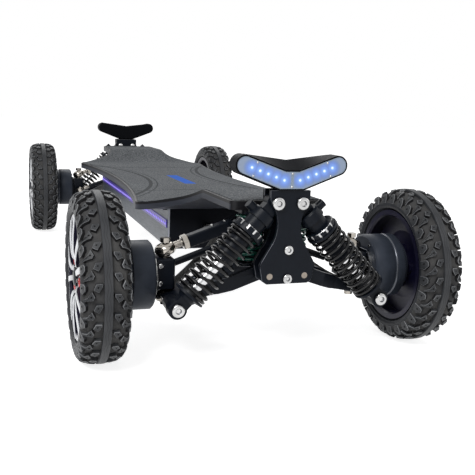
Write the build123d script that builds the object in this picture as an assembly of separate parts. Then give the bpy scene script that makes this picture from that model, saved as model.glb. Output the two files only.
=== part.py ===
from build123d import *
import math
import os

# Electric mountainboard with double wishbones and coil shocks at all four corners, in millimetres.
# X runs across the board and +X is the rider's left, -Y is forward, Z is up from the ground.
# Every corner piece is modelled at the front left, where "reach" is the distance forward of the
# middle of the board. The other corners are mirror images and half turns of that one.

# Stance
TRACK = 458.0
WHEELBASE = 1010.0
TYRE_RADIUS = 112.5
TYRE_WIDTH = 62.0

# Suspension pivots, seen from the front
PIVOT_X = 24.0
LOWER_PIVOT_Z = 125.0
KINGPIN_X = 138.0
LOWER_BALL_Z = 85.0
LINK_RISE = 61.0
BALL_RADIUS = 9.0
SOCKET_GAP = 0.3
RUNNING_GAP = 0.05
PIN_RADIUS = 4.0

# Shock absorber
SHOCK_TOP_X = 16.5
SHOCK_TOP_Z = 218.4
SHOCK_FOOT_X = 141.0
SHOCK_FOOT_Z = 86.0
SHOCK_BOLT_RADIUS = 5.0
SHOCK_EYE_RADIUS = 12.0
SHOCK_EYE_WIDTH = 15.0
SPRING_TOP = 54.0
SPRING_FOOT = 157.0
SPRING_MEAN_RADIUS = 19.75
SPRING_WIRE_RADIUS = 2.25
SPRING_TURNS = 9.5
SHOCK_TUBE_RADIUS = 14.0
SHOCK_TUBE_END = 98.0
SHOCK_ROD_RADIUS = 7.0
SHOCK_ROD_TOP = 86.0
SHOCK_BORE_GAP = 1.2
SHOCK_BORE_TOP = 61.0

# Truck plates, set off from the axle and from the lean springs
PLATE_THICKNESS = 6.0
PLATE_TO_LINK = 2.0
SPRING_TO_TOWER = 14.0
TOWER_GAP = 16.0
TOWER_BASE_Z = 115.0
TOWER_BASE_HALF_WIDTH = 28.0
TOWER_HIP_Z = 140.0
TOWER_HIP_HALF_WIDTH = 38.0
TOWER_WAIST_LOW_Z = 177.0
TOWER_WAIST_HIGH_Z = 203.0
TOWER_WAIST_HALF_WIDTH = 16.0
TOWER_WAIST_RADIUS = 45.0
TOWER_HEAD_Z = 222.0
TOWER_HEAD_HALF_WIDTH = 27.0
UPPER_SPACER_Z = 159.0
SPINE_HALF_WIDTH = 12.0
SPINE_BASE_Z = 108.0
SEAT_PLATE_Z = 129.5
SEAT_PLATE_THICKNESS = 4.0
SEAT_PLATE_HALF_WIDTH = 50.0
EYE_WIDTH = 12.0

# Lean pivot and its springs
LEAN_PIVOT_Z = 182.0
LEAN_SHAFT_RADIUS = 5.0
BARREL_RADIUS = 9.0
LEVER_DROP = 32.0
LEVER_THICKNESS = 8.0
LEVER_GAP = 2.0
PEG_RADIUS = 3.0
LEAN_SPRING_X = 31.0
LEAN_SPRING_LEAD = 32.0
LEAN_SPRING_MEAN_RADIUS = 17.0
LEAN_SPRING_WIRE_RADIUS = 2.0
LEAN_SPRING_TURNS = 9.0
BRACKET_THICKNESS = 6.0
BRACKET_HALF_WIDTH = 48.0

# Steering link
TIE_GAP = 1.0
TIE_INNER_Z = 150.0
TIE_BALL_RADIUS = 6.5
TIE_SOCKET_GAP = 1.1
TIE_EYE_WIDTH = 8.0
LINK_PIN_RADIUS = 3.5
CENTRE_LINK_WIDTH = 9.0
CENTRE_LINK_HALF_LENGTH = 32.0
CENTRE_LINK_HALF_HEIGHT = 10.0
RAIL_GAP = 0.3

# Wheel
BEAD_RADIUS = 76.0
FLANGE_RADIUS = 81.0
FLANGE_OFFSET = 24.0
BARREL_WALL = 4.0
AXLE_RADIUS = 8.0
HUB_RADIUS = 30.0
SPOKE_PAIRS = 5
LUGS_PER_SIDE = 30
MOTOR_RADIUS = 46.0
MOTOR_INNER_X = 158.0
MOTOR_OUTER_X = 212.0
SPOKE_KNEE_RADIUS = 50.0
WEB_THICKNESS = 4.0

# Knuckle
KNUCKLE_WIDTH = 26.0
KNUCKLE_DEPTH = 40.0
KNUCKLE_BASE_Z = 96.0
KNUCKLE_TOP_Z = 135.5
KNUCKLE_OFFSET = 3.0

# Deck
NOSE_TO_TOWER = 12.0
DECK_THICKNESS = 13.0
GRIP_THICKNESS = 1.2
GRIP_INSET = 4.0
NOSE_TOP_Z = 218.0
PLATFORM_TOP_Z = 190.0
PLATFORM_REACH = 360.0
RAMP_RUN = 70.0
NOSE_HALF_WIDTH = 65.0
NECK_HALF_WIDTH = 69.0
NECK_REACH = 402.0
WING_HALF_WIDTH = 150.0
WING_REACH = 352.0
WAIST_HALF_WIDTH = 120.0

# Battery case
CASE_HALF_WIDTH = 97.0
CASE_BASE_Z = 113.0
CASE_BASE_REACH = 350.0
CASE_TOP_REACH = 352.0
CASE_WALL = 3.0
CASE_CORNER_RADIUS = 6.0
FLANGE_WIDTH = 8.0
FLANGE_THICKNESS = 3.0
PACK_REACH = 200.0
PACK_HEIGHT = 46.0
CONTROLLER_HEIGHT = 25.0
CONTROLLER_GAP = 15.0
STRIP_TOP_Z = 158.0
STRIP_HEIGHT = 12.0
STRIP_DEPTH = 1.6
STRIP_REACH = 341.0

# Lamp
LAMP_OVERHANG = 2.0
LOBE_X = 62.3
LOBE_Z = 266.3
LOBE_RADIUS = 12.7
LAMP_BASE_Z = 235.0
LAMP_BASE_HALF_WIDTH = 16.0
LAMP_NOTCH_Z = 260.5
LAMP_NOTCH_HALF_WIDTH = 9.0
LENS_BORDER = 3.5
LENS_DEPTH = 3.0
LEDS_PER_SIDE = 5

# Motor cables
CABLE_RADIUS = 5.5
CABLE_END_REACH = 360.0
GLAND_RADIUS = 9.0
MOTOR_GLAND_RADIUS = 7.5
COIL_GAP = 0.6

# Places worked out from the sizes above
AXLE_REACH = WHEELBASE / 2
WHEEL_X = TRACK / 2
AXLE_Z = TYRE_RADIUS
UPPER_BALL_Z = LOWER_BALL_Z + LINK_RISE
UPPER_PIVOT_Z = LOWER_PIVOT_Z + LINK_RISE
LINK_RUN = KINGPIN_X - PIVOT_X
LINK_DROP = LOWER_PIVOT_Z - LOWER_BALL_Z
LINK_LENGTH = math.hypot(LINK_RUN, LINK_DROP)
DROOP = math.degrees(math.atan2(LINK_DROP, LINK_RUN))
SHOCK_LENGTH = math.hypot(SHOCK_FOOT_X - SHOCK_TOP_X, SHOCK_TOP_Z - SHOCK_FOOT_Z)
SHOCK_ANGLE = math.degrees(math.atan2(SHOCK_TOP_Z - SHOCK_FOOT_Z, SHOCK_FOOT_X - SHOCK_TOP_X))
REAR_LEG_BACK = AXLE_REACH - EYE_WIDTH / 2
REAR_LEG_FRONT = AXLE_REACH + EYE_WIDTH / 2
REAR_PLATE_FRONT = REAR_LEG_BACK - PLATE_TO_LINK
REAR_PLATE_BACK = REAR_PLATE_FRONT - PLATE_THICKNESS
LEAN_SPRING_REACH = AXLE_REACH + LEAN_SPRING_LEAD
LEAN_SPRING_RADIUS = LEAN_SPRING_MEAN_RADIUS + LEAN_SPRING_WIRE_RADIUS
INNER_TOWER_BACK = LEAN_SPRING_REACH + LEAN_SPRING_RADIUS + SPRING_TO_TOWER
INNER_TOWER_FRONT = INNER_TOWER_BACK + PLATE_THICKNESS
TOWER_BACK = INNER_TOWER_FRONT + TOWER_GAP
TOWER_FRONT = TOWER_BACK + PLATE_THICKNESS
SHOCK_REACH = INNER_TOWER_FRONT + TOWER_GAP / 2
EYE_BACK = SHOCK_REACH - SHOCK_EYE_WIDTH / 2
EYE_FRONT = SHOCK_REACH + SHOCK_EYE_WIDTH / 2
FRONT_LEG_BACK = INNER_TOWER_BACK - 10
FRONT_LEG_FRONT = INNER_TOWER_BACK - 1
SEAT_PLATE_TOP_Z = SEAT_PLATE_Z + SEAT_PLATE_THICKNESS
DECK_UNDER_NOSE_Z = NOSE_TOP_Z - DECK_THICKNESS
DECK_UNDER_Z = PLATFORM_TOP_Z - DECK_THICKNESS
BRACKET_BASE_Z = DECK_UNDER_NOSE_Z - BRACKET_THICKNESS
PEG_Z = LEAN_PIVOT_Z - LEVER_DROP
LEVER_FRONT = REAR_PLATE_BACK - LEVER_GAP
LEVER_BACK = LEVER_FRONT - LEVER_THICKNESS
CENTRE_LINK_FRONT = LEVER_BACK - LEVER_GAP
CENTRE_LINK_BACK = CENTRE_LINK_FRONT - CENTRE_LINK_WIDTH
TIE_REACH = CENTRE_LINK_BACK - TIE_GAP - TIE_EYE_WIDTH / 2
TIE_OUTER_Z = TIE_INNER_Z - LINK_DROP
DECK_REACH = INNER_TOWER_BACK - NOSE_TO_TOWER
RAMP_END_REACH = PLATFORM_REACH + RAMP_RUN
LAMP_BACK = INNER_TOWER_BACK + LAMP_OVERHANG
LAMP_FACE = TOWER_FRONT + LAMP_OVERHANG


# Basic forms, placed by x across, reach forward and z up

def slab(sketch, near, far):
    """A sketch in x and z, filled from one reach to another."""
    return extrude(Plane.XZ.offset(near) * sketch, far - near)


def pin(x, z, radius, near, far):
    return slab(Pos(x, z) * Circle(radius), near, far)


def post(x, reach, radius, low, high):
    return Pos(x, -reach, low) * extrude(Circle(radius), high - low)


def crossbar(reach, z, radius, inner, outer):
    return extrude(Plane.YZ.offset(inner) * (Pos(-reach, z) * Circle(radius)), outer - inner)


def block(x0, x1, near, far, low, high):
    middle = Pos((x0 + x1) / 2, -(near + far) / 2, (low + high) / 2)
    return middle * Box(x1 - x0, far - near, high - low)


def outline(points):
    return make_face(Polyline(points, close=True))


def mirrored_outline(points):
    """A closed outline from its right half, listed from the bottom up."""
    return outline(points + [(-x, z) for x, z in reversed(points)])


def rounded(face, corners):
    """Rounds corners of a mirrored face, each given by its distances from the middle and a radius."""
    for (across, along), radius in corners:
        picked = [v for v in face.vertices() if abs(abs(v.X) - across) < 0.1 and abs(abs(v.Y) - along) < 0.1]
        face = fillet(picked, radius)
    return face


def turned(points, axis_reach=0.0, axis_z=0.0):
    """A profile of (x, radius) points turned about a line along X."""
    solid = revolve(Plane.XZ * outline(points), Axis.X)
    return Pos(0, -axis_reach, axis_z) * solid


def button_head(x, z, radius, near, height):
    """A domed bolt head that sits on the plane at this reach and faces forward."""
    head = pin(x, z, radius, near, near + height)
    rim = head.edges().filter_by(GeomType.CIRCLE).sort_by(Axis.Y)[0]
    head = fillet(rim, height * 0.6)
    return head - pin(x, z, radius * 0.4, near + height * 0.5, near + height + 1)


def hexagon(x, reach, size, low, high):
    return Pos(x, -reach, low) * extrude(RegularPolygon(size, 6), high - low)


# Coil springs

def coil_height(turn, turns, closed_pitch, open_pitch):
    """Height of the wire's centre after so many turns: one close turn at each end."""
    if turn <= 1:
        return turn * closed_pitch
    if turn >= turns - 1:
        top = 2 * closed_pitch + (turns - 2) * open_pitch
        return top - (turns - turn) * closed_pitch
    return closed_pitch + (turn - 1) * open_pitch


def coil_spring(mean_radius, wire_radius, length, turns):
    """One unbroken tube of helical turns, standing on z = 0, swept along half-turn biarcs."""
    closed_pitch = 2 * wire_radius + COIL_GAP
    rise = length - 2 * wire_radius
    open_pitch = (rise - 2 * closed_pitch) / (turns - 2)

    def point(turn):
        angle = 2 * math.pi * turn
        height = wire_radius + coil_height(turn, turns, closed_pitch, open_pitch)
        return Vector(mean_radius * math.cos(angle), mean_radius * math.sin(angle), height)

    def tangent(turn):
        angle = 2 * math.pi * turn
        step = 0.25
        low, high = max(turn - step, 0), min(turn + step, turns)
        slope = (coil_height(high, turns, closed_pitch, open_pitch)
                 - coil_height(low, turns, closed_pitch, open_pitch)) / (high - low)
        around = 2 * math.pi * mean_radius
        return Vector(-math.sin(angle) * around, math.cos(angle) * around, slope).normalized()

    arcs = []
    for half in range(int(2 * turns)):
        start, end = point(half / 2), point((half + 1) / 2)
        leave, arrive = tangent(half / 2), tangent((half + 1) / 2)
        chord = end - start
        along = chord.dot(leave + arrive)
        spread = 2 * (1 - leave.dot(arrive))
        reach = (math.sqrt(along ** 2 + spread * chord.dot(chord)) - along) / spread
        first_control = start + leave * reach
        second_control = end - arrive * reach
        middle = (first_control + second_control) / 2
        middle_tangent = (second_control - first_control).normalized()
        arcs.append(TangentArc(start, middle, tangent=leave))
        arcs.append(TangentArc(middle, end, tangent=middle_tangent))
    path = Wire(arcs)
    section = Plane(origin=point(0), z_dir=tangent(0)) * Circle(wire_radius)
    solid = sweep(section, path=path)
    print(f"coil of {turns} turns, least gap to itself {coil_gap(arcs, wire_radius):.2f} mm")
    return solid


def coil_gap(arcs, wire_radius):
    """Least gap between turns, measured on points of the arcs that lie over half a turn apart."""
    per_arc = 10
    samples = [arc @ (step / per_arc) for arc in arcs for step in range(per_arc)]
    apart = 3 * per_arc
    nearest = min((samples[i] - samples[j]).length
                  for i in range(len(samples)) for j in range(i + apart, min(i + 2 * apart, len(samples))))
    return nearest - 2 * wire_radius


# Lower arm: drawn flat along X from its inner pivot, then dropped to its angle at rest

def hung(shape, pivot_z):
    return Pos(PIVOT_X, 0, pivot_z) * Rot(0, DROOP, 0) * shape


def rod_end(length, reach, ring_radius, half_height, ball_radius, gap):
    """The ring that holds a ball at the outer end of a link."""
    ring = Pos(length, -reach, 0) * Cylinder(ring_radius, 2 * half_height)
    return ring - Pos(length, -reach, 0) * Sphere(ball_radius + gap)


def shock_foot_on_arm():
    """Where the lower shock bolt crosses the arm, in the arm's flat frame."""
    run = SHOCK_FOOT_X - PIVOT_X
    rise = SHOCK_FOOT_Z - LOWER_PIVOT_Z
    angle = math.radians(DROOP)
    along = run * math.cos(angle) - rise * math.sin(angle)
    across = run * math.sin(angle) + rise * math.cos(angle)
    return along, across


def lower_arm():
    eye_radius = 10.0
    leg_half_height = 9.5
    plate_half_height = 5.0
    leg_shift = 11.0
    bridge_start = 88.0
    bridge_front = FRONT_LEG_FRONT - leg_shift
    bridge_end = LINK_LENGTH + 8.0
    plan = outline([
        (0, -REAR_LEG_BACK), (LINK_LENGTH, -REAR_LEG_BACK - 1), (bridge_end, -AXLE_REACH),
        (bridge_end, -bridge_front + 4), (bridge_end - 4, -bridge_front),
        (bridge_start - 20, -bridge_front), (bridge_start - 44, -FRONT_LEG_FRONT),
        (0, -FRONT_LEG_FRONT), (0, -FRONT_LEG_BACK), (bridge_start - 47, -FRONT_LEG_BACK),
        (bridge_start - 22, -bridge_front + 9), (bridge_start, -bridge_front + 14),
        (bridge_start + 2, -REAR_LEG_FRONT - 6), (bridge_start - 8, -REAR_LEG_FRONT),
        (0, -REAR_LEG_FRONT),
    ])
    side = outline([
        (0, -leg_half_height), (bridge_start - 26, -leg_half_height), (bridge_start + 4, -plate_half_height),
        (bridge_end + 2, -plate_half_height), (bridge_end + 2, plate_half_height),
        (bridge_start + 4, plate_half_height), (bridge_start - 26, leg_half_height), (0, leg_half_height),
    ])
    body = extrude(plan, 2 * leg_half_height, both=True) & slab(side, REAR_LEG_BACK - 5, FRONT_LEG_FRONT + 5)
    body += pin(0, 0, eye_radius, REAR_LEG_BACK, REAR_LEG_FRONT)
    body += pin(0, 0, eye_radius, FRONT_LEG_BACK, FRONT_LEG_FRONT)
    body += Pos(LINK_LENGTH, -AXLE_REACH, 0) * Cylinder(13.5, 2 * plate_half_height)
    along, across = shock_foot_on_arm()
    boss_back = bridge_front - 9
    body += pin(along, across, eye_radius, boss_back, EYE_BACK - 0.5)
    body -= Pos(LINK_LENGTH, -AXLE_REACH, 0) * Sphere(BALL_RADIUS + SOCKET_GAP)
    body -= pin(0, 0, PIN_RADIUS + RUNNING_GAP, REAR_LEG_BACK - 5, FRONT_LEG_FRONT + 5)
    body -= pin(along, across, SHOCK_BOLT_RADIUS, boss_back - 5, EYE_BACK)
    bolt = pin(along, across, SHOCK_BOLT_RADIUS, boss_back, EYE_FRONT + 0.5)
    head = button_head(along, across, 8.5, EYE_FRONT + 0.5, 5.0)
    nut = slab(Pos(along, across) * RegularPolygon(8.5, 6), boss_back - 6, boss_back)
    return [hung(piece, LOWER_PIVOT_Z) for piece in (body, bolt + head, nut)]


def upper_link():
    eye_radius = 9.5
    bar_start, bar_end = 16.0, 88.0
    bar_half_width = 8.0
    bar_low, bar_high = -9.0, 7.5
    shank_radius = 5.0
    shank_start = 70.0
    bar = block(bar_start, bar_end, AXLE_REACH - bar_half_width, AXLE_REACH + bar_half_width, bar_low, bar_high)
    bar = fillet(bar.edges().filter_by(Axis.X), 2.5)
    neck = block(0, bar_start, REAR_LEG_BACK, REAR_LEG_FRONT, bar_low + 1, bar_high - 1)
    body = pin(0, 0, eye_radius, REAR_LEG_BACK, REAR_LEG_FRONT) + neck + bar
    body -= pin(0, 0, PIN_RADIUS + RUNNING_GAP, REAR_LEG_BACK - 5, REAR_LEG_FRONT + 5)
    shank = crossbar(AXLE_REACH, 0, shank_radius, shank_start, LINK_LENGTH - BALL_RADIUS)
    body -= shank
    ring = rod_end(LINK_LENGTH, AXLE_REACH, 13.0, 5.0, BALL_RADIUS, SOCKET_GAP)
    ring_and_shank = ring + (shank - Pos(LINK_LENGTH, -AXLE_REACH, 0) * Sphere(BALL_RADIUS + SOCKET_GAP))
    nut_sketch = Plane.YZ.offset(bar_end) * (Pos(-AXLE_REACH, 0) * RegularPolygon(8.5, 6))
    nut = extrude(nut_sketch, 6) - shank
    return [hung(piece, UPPER_PIVOT_Z) for piece in (body, ring_and_shank, nut)]


def tie_rod():
    near = TIE_REACH - TIE_EYE_WIDTH / 2
    far = TIE_REACH + TIE_EYE_WIDTH / 2
    rod_radius = 5.0
    shank_radius = 3.5
    rod_start, rod_end_x = 5.0, LINK_LENGTH - 24.0
    body = pin(0, 0, 8.0, near, far) + crossbar(TIE_REACH, 0, rod_radius, rod_start, rod_end_x)
    body &= block(-20, LINK_LENGTH, near, far, -20, 20) + crossbar(TIE_REACH, 0, rod_radius, 9, rod_end_x)
    body -= pin(0, 0, LINK_PIN_RADIUS + RUNNING_GAP, near - 5, far + 5)
    ring = rod_end(LINK_LENGTH, TIE_REACH, 11.0, 4.5, TIE_BALL_RADIUS, TIE_SOCKET_GAP)
    shank = crossbar(TIE_REACH, 0, shank_radius, rod_end_x - 12, LINK_LENGTH - TIE_BALL_RADIUS)
    body -= shank
    shank -= Pos(LINK_LENGTH, -TIE_REACH, 0) * Sphere(TIE_BALL_RADIUS + TIE_SOCKET_GAP)
    return [hung(piece, TIE_INNER_Z) for piece in (body, ring + shank)]


# Kingpin and knuckle

def kingpin():
    neck = BALL_RADIUS + 0.5
    washer_gap = 0.3
    pieces = post(KINGPIN_X, AXLE_REACH, PIN_RADIUS, LOWER_BALL_Z - neck, UPPER_BALL_Z + neck)
    for ball_z in (LOWER_BALL_Z, UPPER_BALL_Z):
        pieces += Pos(KINGPIN_X, -AXLE_REACH, ball_z) * Sphere(BALL_RADIUS)
    for low in (KNUCKLE_BASE_Z - washer_gap - 1.2, KNUCKLE_TOP_Z + washer_gap):
        pieces += post(KINGPIN_X, AXLE_REACH, 6.5, low, low + 1.2)
    pieces += post(KINGPIN_X, AXLE_REACH, 6.0, LOWER_BALL_Z - neck - 4.5, LOWER_BALL_Z - neck)
    nut = hexagon(KINGPIN_X, AXLE_REACH, 7.0, UPPER_BALL_Z + neck, UPPER_BALL_Z + neck + 6)
    return [pieces, nut]


def knuckle():
    inner = KINGPIN_X - KNUCKLE_WIDTH / 2 + KNUCKLE_OFFSET
    outer = inner + KNUCKLE_WIDTH
    near, far = AXLE_REACH - KNUCKLE_DEPTH / 2, AXLE_REACH + KNUCKLE_DEPTH / 2
    body = block(inner, outer, near, far, KNUCKLE_BASE_Z, KNUCKLE_TOP_Z)
    body = fillet(body.edges().filter_by(Axis.Z), 4)
    body = chamfer(body.edges().group_by(Axis.Z)[-1], 1.2)
    flange = crossbar(AXLE_REACH, AXLE_Z, 32.0, outer, MOTOR_INNER_X)
    flange &= block(outer, MOTOR_INNER_X, near - 20, far + 20, KNUCKLE_BASE_Z - 20, KNUCKLE_TOP_Z + 4)
    flange -= crossbar(CABLE_ROUTE[0][1], CABLE_ROUTE[0][2], MOTOR_GLAND_RADIUS + SOCKET_GAP,
                       outer - 5, MOTOR_INNER_X + 5)
    arm_low, arm_high = KNUCKLE_BASE_Z - 2, KNUCKLE_BASE_Z + 4.5
    arm_plan = Pos(KINGPIN_X, -TIE_REACH) * Circle(8)
    arm_plan += outline([(KINGPIN_X - 8, -TIE_REACH), (KINGPIN_X + 8, -TIE_REACH),
                         (KINGPIN_X + 11, -near - 4), (KINGPIN_X - 9, -near - 4)])
    steering_arm = Pos(0, 0, arm_low) * extrude(arm_plan, arm_high - arm_low)
    stud = post(KINGPIN_X, TIE_REACH, 3.0, arm_low - 3, TIE_OUTER_Z)
    ball = Pos(KINGPIN_X, -TIE_REACH, TIE_OUTER_Z) * Sphere(TIE_BALL_RADIUS)
    body += flange + steering_arm
    body -= post(KINGPIN_X, AXLE_REACH, PIN_RADIUS + RUNNING_GAP, KNUCKLE_BASE_Z - 5, KNUCKLE_TOP_Z + 5)
    body -= stud
    screws = []
    for z in (KNUCKLE_BASE_Z + 8, KNUCKLE_TOP_Z - 8):
        screws.append(button_head(outer - 6, z, 3.5, far, 2.5))
    return [body, stud + ball] + screws


def hub_motor():
    flange_radius = 30.0
    step_radius = 38.0
    bevel = 3.0
    axle_end = WHEEL_X + 17.0
    drum = turned([
        (MOTOR_INNER_X, 0), (MOTOR_INNER_X, MOTOR_RADIUS - bevel), (MOTOR_INNER_X + bevel, MOTOR_RADIUS),
        (MOTOR_INNER_X + 30, MOTOR_RADIUS), (MOTOR_INNER_X + 30, MOTOR_RADIUS - 1.5),
        (MOTOR_INNER_X + 33, MOTOR_RADIUS - 1.5), (MOTOR_INNER_X + 33, MOTOR_RADIUS),
        (MOTOR_OUTER_X - 8, MOTOR_RADIUS), (MOTOR_OUTER_X - 5, step_radius), (MOTOR_OUTER_X, step_radius),
        (MOTOR_OUTER_X, AXLE_RADIUS), (axle_end, AXLE_RADIUS), (axle_end, 0),
    ], AXLE_REACH, AXLE_Z)
    gland = crossbar(CABLE_ROUTE[0][1], CABLE_ROUTE[0][2], MOTOR_GLAND_RADIUS, CABLE_ROUTE[0][0], MOTOR_INNER_X)
    bolts = []
    for angle in (60, 120, 240, 300):
        reach = AXLE_REACH + (flange_radius + 8) * math.cos(math.radians(angle))
        z = AXLE_Z + (flange_radius + 8) * math.sin(math.radians(angle))
        bolts.append(crossbar(reach, z, 2.5, MOTOR_INNER_X - 2.0, MOTOR_INNER_X))
    return [drum, gland] + bolts


# Wheel, drawn about the wheel's own middle with x outward

def at_wheel(shape):
    return Pos(WHEEL_X, -AXLE_REACH, AXLE_Z) * shape


def rim_casting():
    half = FLANGE_OFFSET + 3.0
    inner = BEAD_RADIUS - BARREL_WALL
    barrel = turned([
        (-half, inner + 2), (-half, FLANGE_RADIUS), (-FLANGE_OFFSET, FLANGE_RADIUS),
        (-FLANGE_OFFSET, BEAD_RADIUS), (FLANGE_OFFSET, BEAD_RADIUS),
        (FLANGE_OFFSET, FLANGE_RADIUS), (half, FLANGE_RADIUS), (half, inner + 2),
        (half - 3, inner), (3 - half, inner),
    ])
    dome = turned([
        (17, 8.2), (17, 26), (15, SPOKE_KNEE_RADIUS), (7, inner + 1), (16, inner + 1),
        (22, SPOKE_KNEE_RADIUS), (24.5, 30), (25, 8.2),
    ])
    web_line = [(-9, 18), (-4, SPOKE_KNEE_RADIUS), (-6, inner + 1)]
    web = turned(web_line + [(x + WEB_THICKNESS, radius) for x, radius in reversed(web_line)])
    spokes = Circle(25)
    for pair in range(SPOKE_PAIRS):
        for side in (-1, 1):
            root, tip = 3.0 * side, 13.0 * side
            spoke = outline([
                (14, root - 4.5), (inner + 3, tip * 1.6 - 6.5), (inner + 3, tip * 1.6 + 6.5), (14, root + 4.5),
            ])
            spokes += Rot(0, 0, 360 / SPOKE_PAIRS * pair) * spoke
    spoke_volume = extrude(Plane.YZ * spokes, 40)
    return barrel + (dome & spoke_volume) + web


def rim():
    hub_start, hub_end = -12.0, 17.0
    lobes = Circle(HUB_RADIUS - 3)
    for lobe in range(SPOKE_PAIRS):
        lobes += Rot(0, 0, 360 / SPOKE_PAIRS * (lobe + 0.5)) * Pos(HUB_RADIUS - 5, 0) * Circle(9)
    hub = extrude(Plane.YZ.offset(hub_start) * lobes, hub_end - hub_start)
    casting = rim_casting() - hub
    hub -= extrude(Plane.YZ.offset(hub_start) * Circle(AXLE_RADIUS + RUNNING_GAP), hub_end - hub_start)
    cap = turned([(17, 0), (17, 8.2), (25, 8.2), (25, 12), (27, 12), (29, 8), (29, 0)])
    pieces = [casting, hub, cap]
    for bolt in range(SPOKE_PAIRS):
        angle = math.radians(360 / SPOKE_PAIRS * (bolt + 0.5))
        seat = Pos(18 * math.cos(angle), 18 * math.sin(angle))
        pieces.append(extrude(Plane.YZ.offset(24.9) * (seat * Circle(3)), 2))
    return [at_wheel(piece) for piece in pieces]


def tyre():
    half_width = TYRE_WIDTH / 2
    crown = TYRE_RADIUS
    right = [
        (FLANGE_OFFSET - 6, BEAD_RADIUS), (FLANGE_OFFSET, BEAD_RADIUS), (FLANGE_OFFSET, FLANGE_RADIUS + 0.4),
        (half_width - 2, FLANGE_RADIUS + 2.5), (half_width, crown - 20), (half_width - 0.6, crown - 12),
        (half_width - 4.5, crown - 4.6), (half_width - 11, crown - 1.8), (half_width - 11.4, crown - 4),
        (half_width - 13.6, crown - 3.8), (half_width - 14, crown - 0.9), (9, crown - 0.5), (8.4, crown - 3.6),
        (5.6, crown - 3.5), (5, crown),
    ]
    cavity = [(20, crown - 18), (14, crown - 11), (-14, crown - 11), (-20, crown - 18)]
    ring_points = right + [(-x, r) for x, r in reversed(right)]
    inner_points = [(-FLANGE_OFFSET + 6, BEAD_RADIUS), (-FLANGE_OFFSET + 5, BEAD_RADIUS + 9)]
    inner_points += [(x, r) for x, r in reversed(cavity)] + [(FLANGE_OFFSET - 5, BEAD_RADIUS + 9)]
    carcass = turned(ring_points[:-1] + inner_points)
    notch = outline([
        (half_width - 21, crown - 3.4), (half_width - 10, crown - 5.0), (half_width - 1.5, crown - 13),
        (half_width + 4, crown - 13), (half_width + 4, crown + 4), (half_width - 21, crown + 4),
    ])
    cutter = extrude(Plane.XZ * notch, 2.6, both=True)
    cutter = Rot(0, 0, 14) * Pos(-half_width + 14, 0, 0) * cutter
    cutter = Pos(half_width - 14, 0, 0) * cutter
    cutters = []
    pitch = 360 / LUGS_PER_SIDE
    for lug in range(LUGS_PER_SIDE):
        cutters.append(Rot(lug * pitch, 0, 0) * cutter)
        cutters.append(Rot((lug + 0.5) * pitch, 0, 0) * mirror(cutter, about=Plane.YZ))
    return [at_wheel(carcass - cutters)]


# Shock absorber, drawn along X from its top bolt, then tilted to its place

def in_shock(shape):
    return Pos(SHOCK_TOP_X, 0, SHOCK_TOP_Z) * Rot(0, SHOCK_ANGLE, 0) * shape


def shock_eye(along):
    """A solid eye with its neck towards the middle of the shock."""
    towards = 1 if along < SHOCK_LENGTH / 2 else -1
    neck_end = along + towards * 19
    eye = pin(along, 0, SHOCK_EYE_RADIUS, EYE_BACK, EYE_FRONT)
    eye += block(min(along, neck_end), max(along, neck_end), EYE_BACK, EYE_FRONT, -9, 9)
    return eye


def shock_body():
    cap_start, cap_end = 17.0, 31.0
    collar_start = SPRING_TOP - 10
    bore = SHOCK_ROD_RADIUS + SHOCK_BORE_GAP
    body = shock_eye(0) + turned([
        (cap_start, 0), (cap_start, 14), (cap_start + 2, 16), (cap_end, 17), (cap_end, SHOCK_TUBE_RADIUS),
        (SHOCK_TUBE_END, SHOCK_TUBE_RADIUS), (SHOCK_TUBE_END, bore), (SHOCK_BORE_TOP, bore),
        (SHOCK_BORE_TOP, 0),
    ], SHOCK_REACH)
    body -= pin(0, 0, SHOCK_BOLT_RADIUS + RUNNING_GAP, EYE_BACK - 5, EYE_FRONT + 5)
    collar_radius = SPRING_MEAN_RADIUS + 1.5
    collar = turned([
        (collar_start, SHOCK_TUBE_RADIUS), (collar_start, collar_radius - 1),
        (collar_start + 1, collar_radius), (collar_start + 7, collar_radius),
        (collar_start + 7, collar_radius + 1.5),
        (SPRING_TOP, collar_radius + 1.5), (SPRING_TOP, SHOCK_TUBE_RADIUS),
    ])
    slots = []
    for slot in range(12):
        cut = Pos(collar_start + 3, 0, collar_radius + 1) * Box(7, 3, 4)
        slots.append(Rot(slot * 30, 0, 0) * cut)
    collar = Pos(0, -SHOCK_REACH, 0) * (collar - slots)
    knob = Pos(cap_start + 7, -SHOCK_REACH, 13) * extrude(Circle(6), 12)
    knob -= body
    return [in_shock(piece) for piece in (body, collar, knob)]


def shock_rod():
    seat_radius = SPRING_MEAN_RADIUS + SPRING_WIRE_RADIUS
    seat_end = SPRING_FOOT + 5
    foot = shock_eye(SHOCK_LENGTH) + turned([
        (SPRING_FOOT, 0), (SPRING_FOOT, seat_radius), (SPRING_FOOT + 3, seat_radius), (seat_end, 13),
        (seat_end + 4, 11), (seat_end + 4, 0),
    ], SHOCK_REACH)
    foot -= pin(SHOCK_LENGTH, 0, SHOCK_BOLT_RADIUS + RUNNING_GAP, EYE_BACK - 5, EYE_FRONT + 5)
    rod = crossbar(SHOCK_REACH, 0, SHOCK_ROD_RADIUS, SHOCK_ROD_TOP, SPRING_FOOT + 4)
    bumper = turned([
        (SPRING_FOOT - 10, SHOCK_ROD_RADIUS), (SPRING_FOOT - 8, 12), (SPRING_FOOT, 12),
        (SPRING_FOOT, SHOCK_ROD_RADIUS),
    ], SHOCK_REACH)
    return [in_shock(piece) for piece in (foot - rod, rod, bumper)]


# Truck frame

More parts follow.
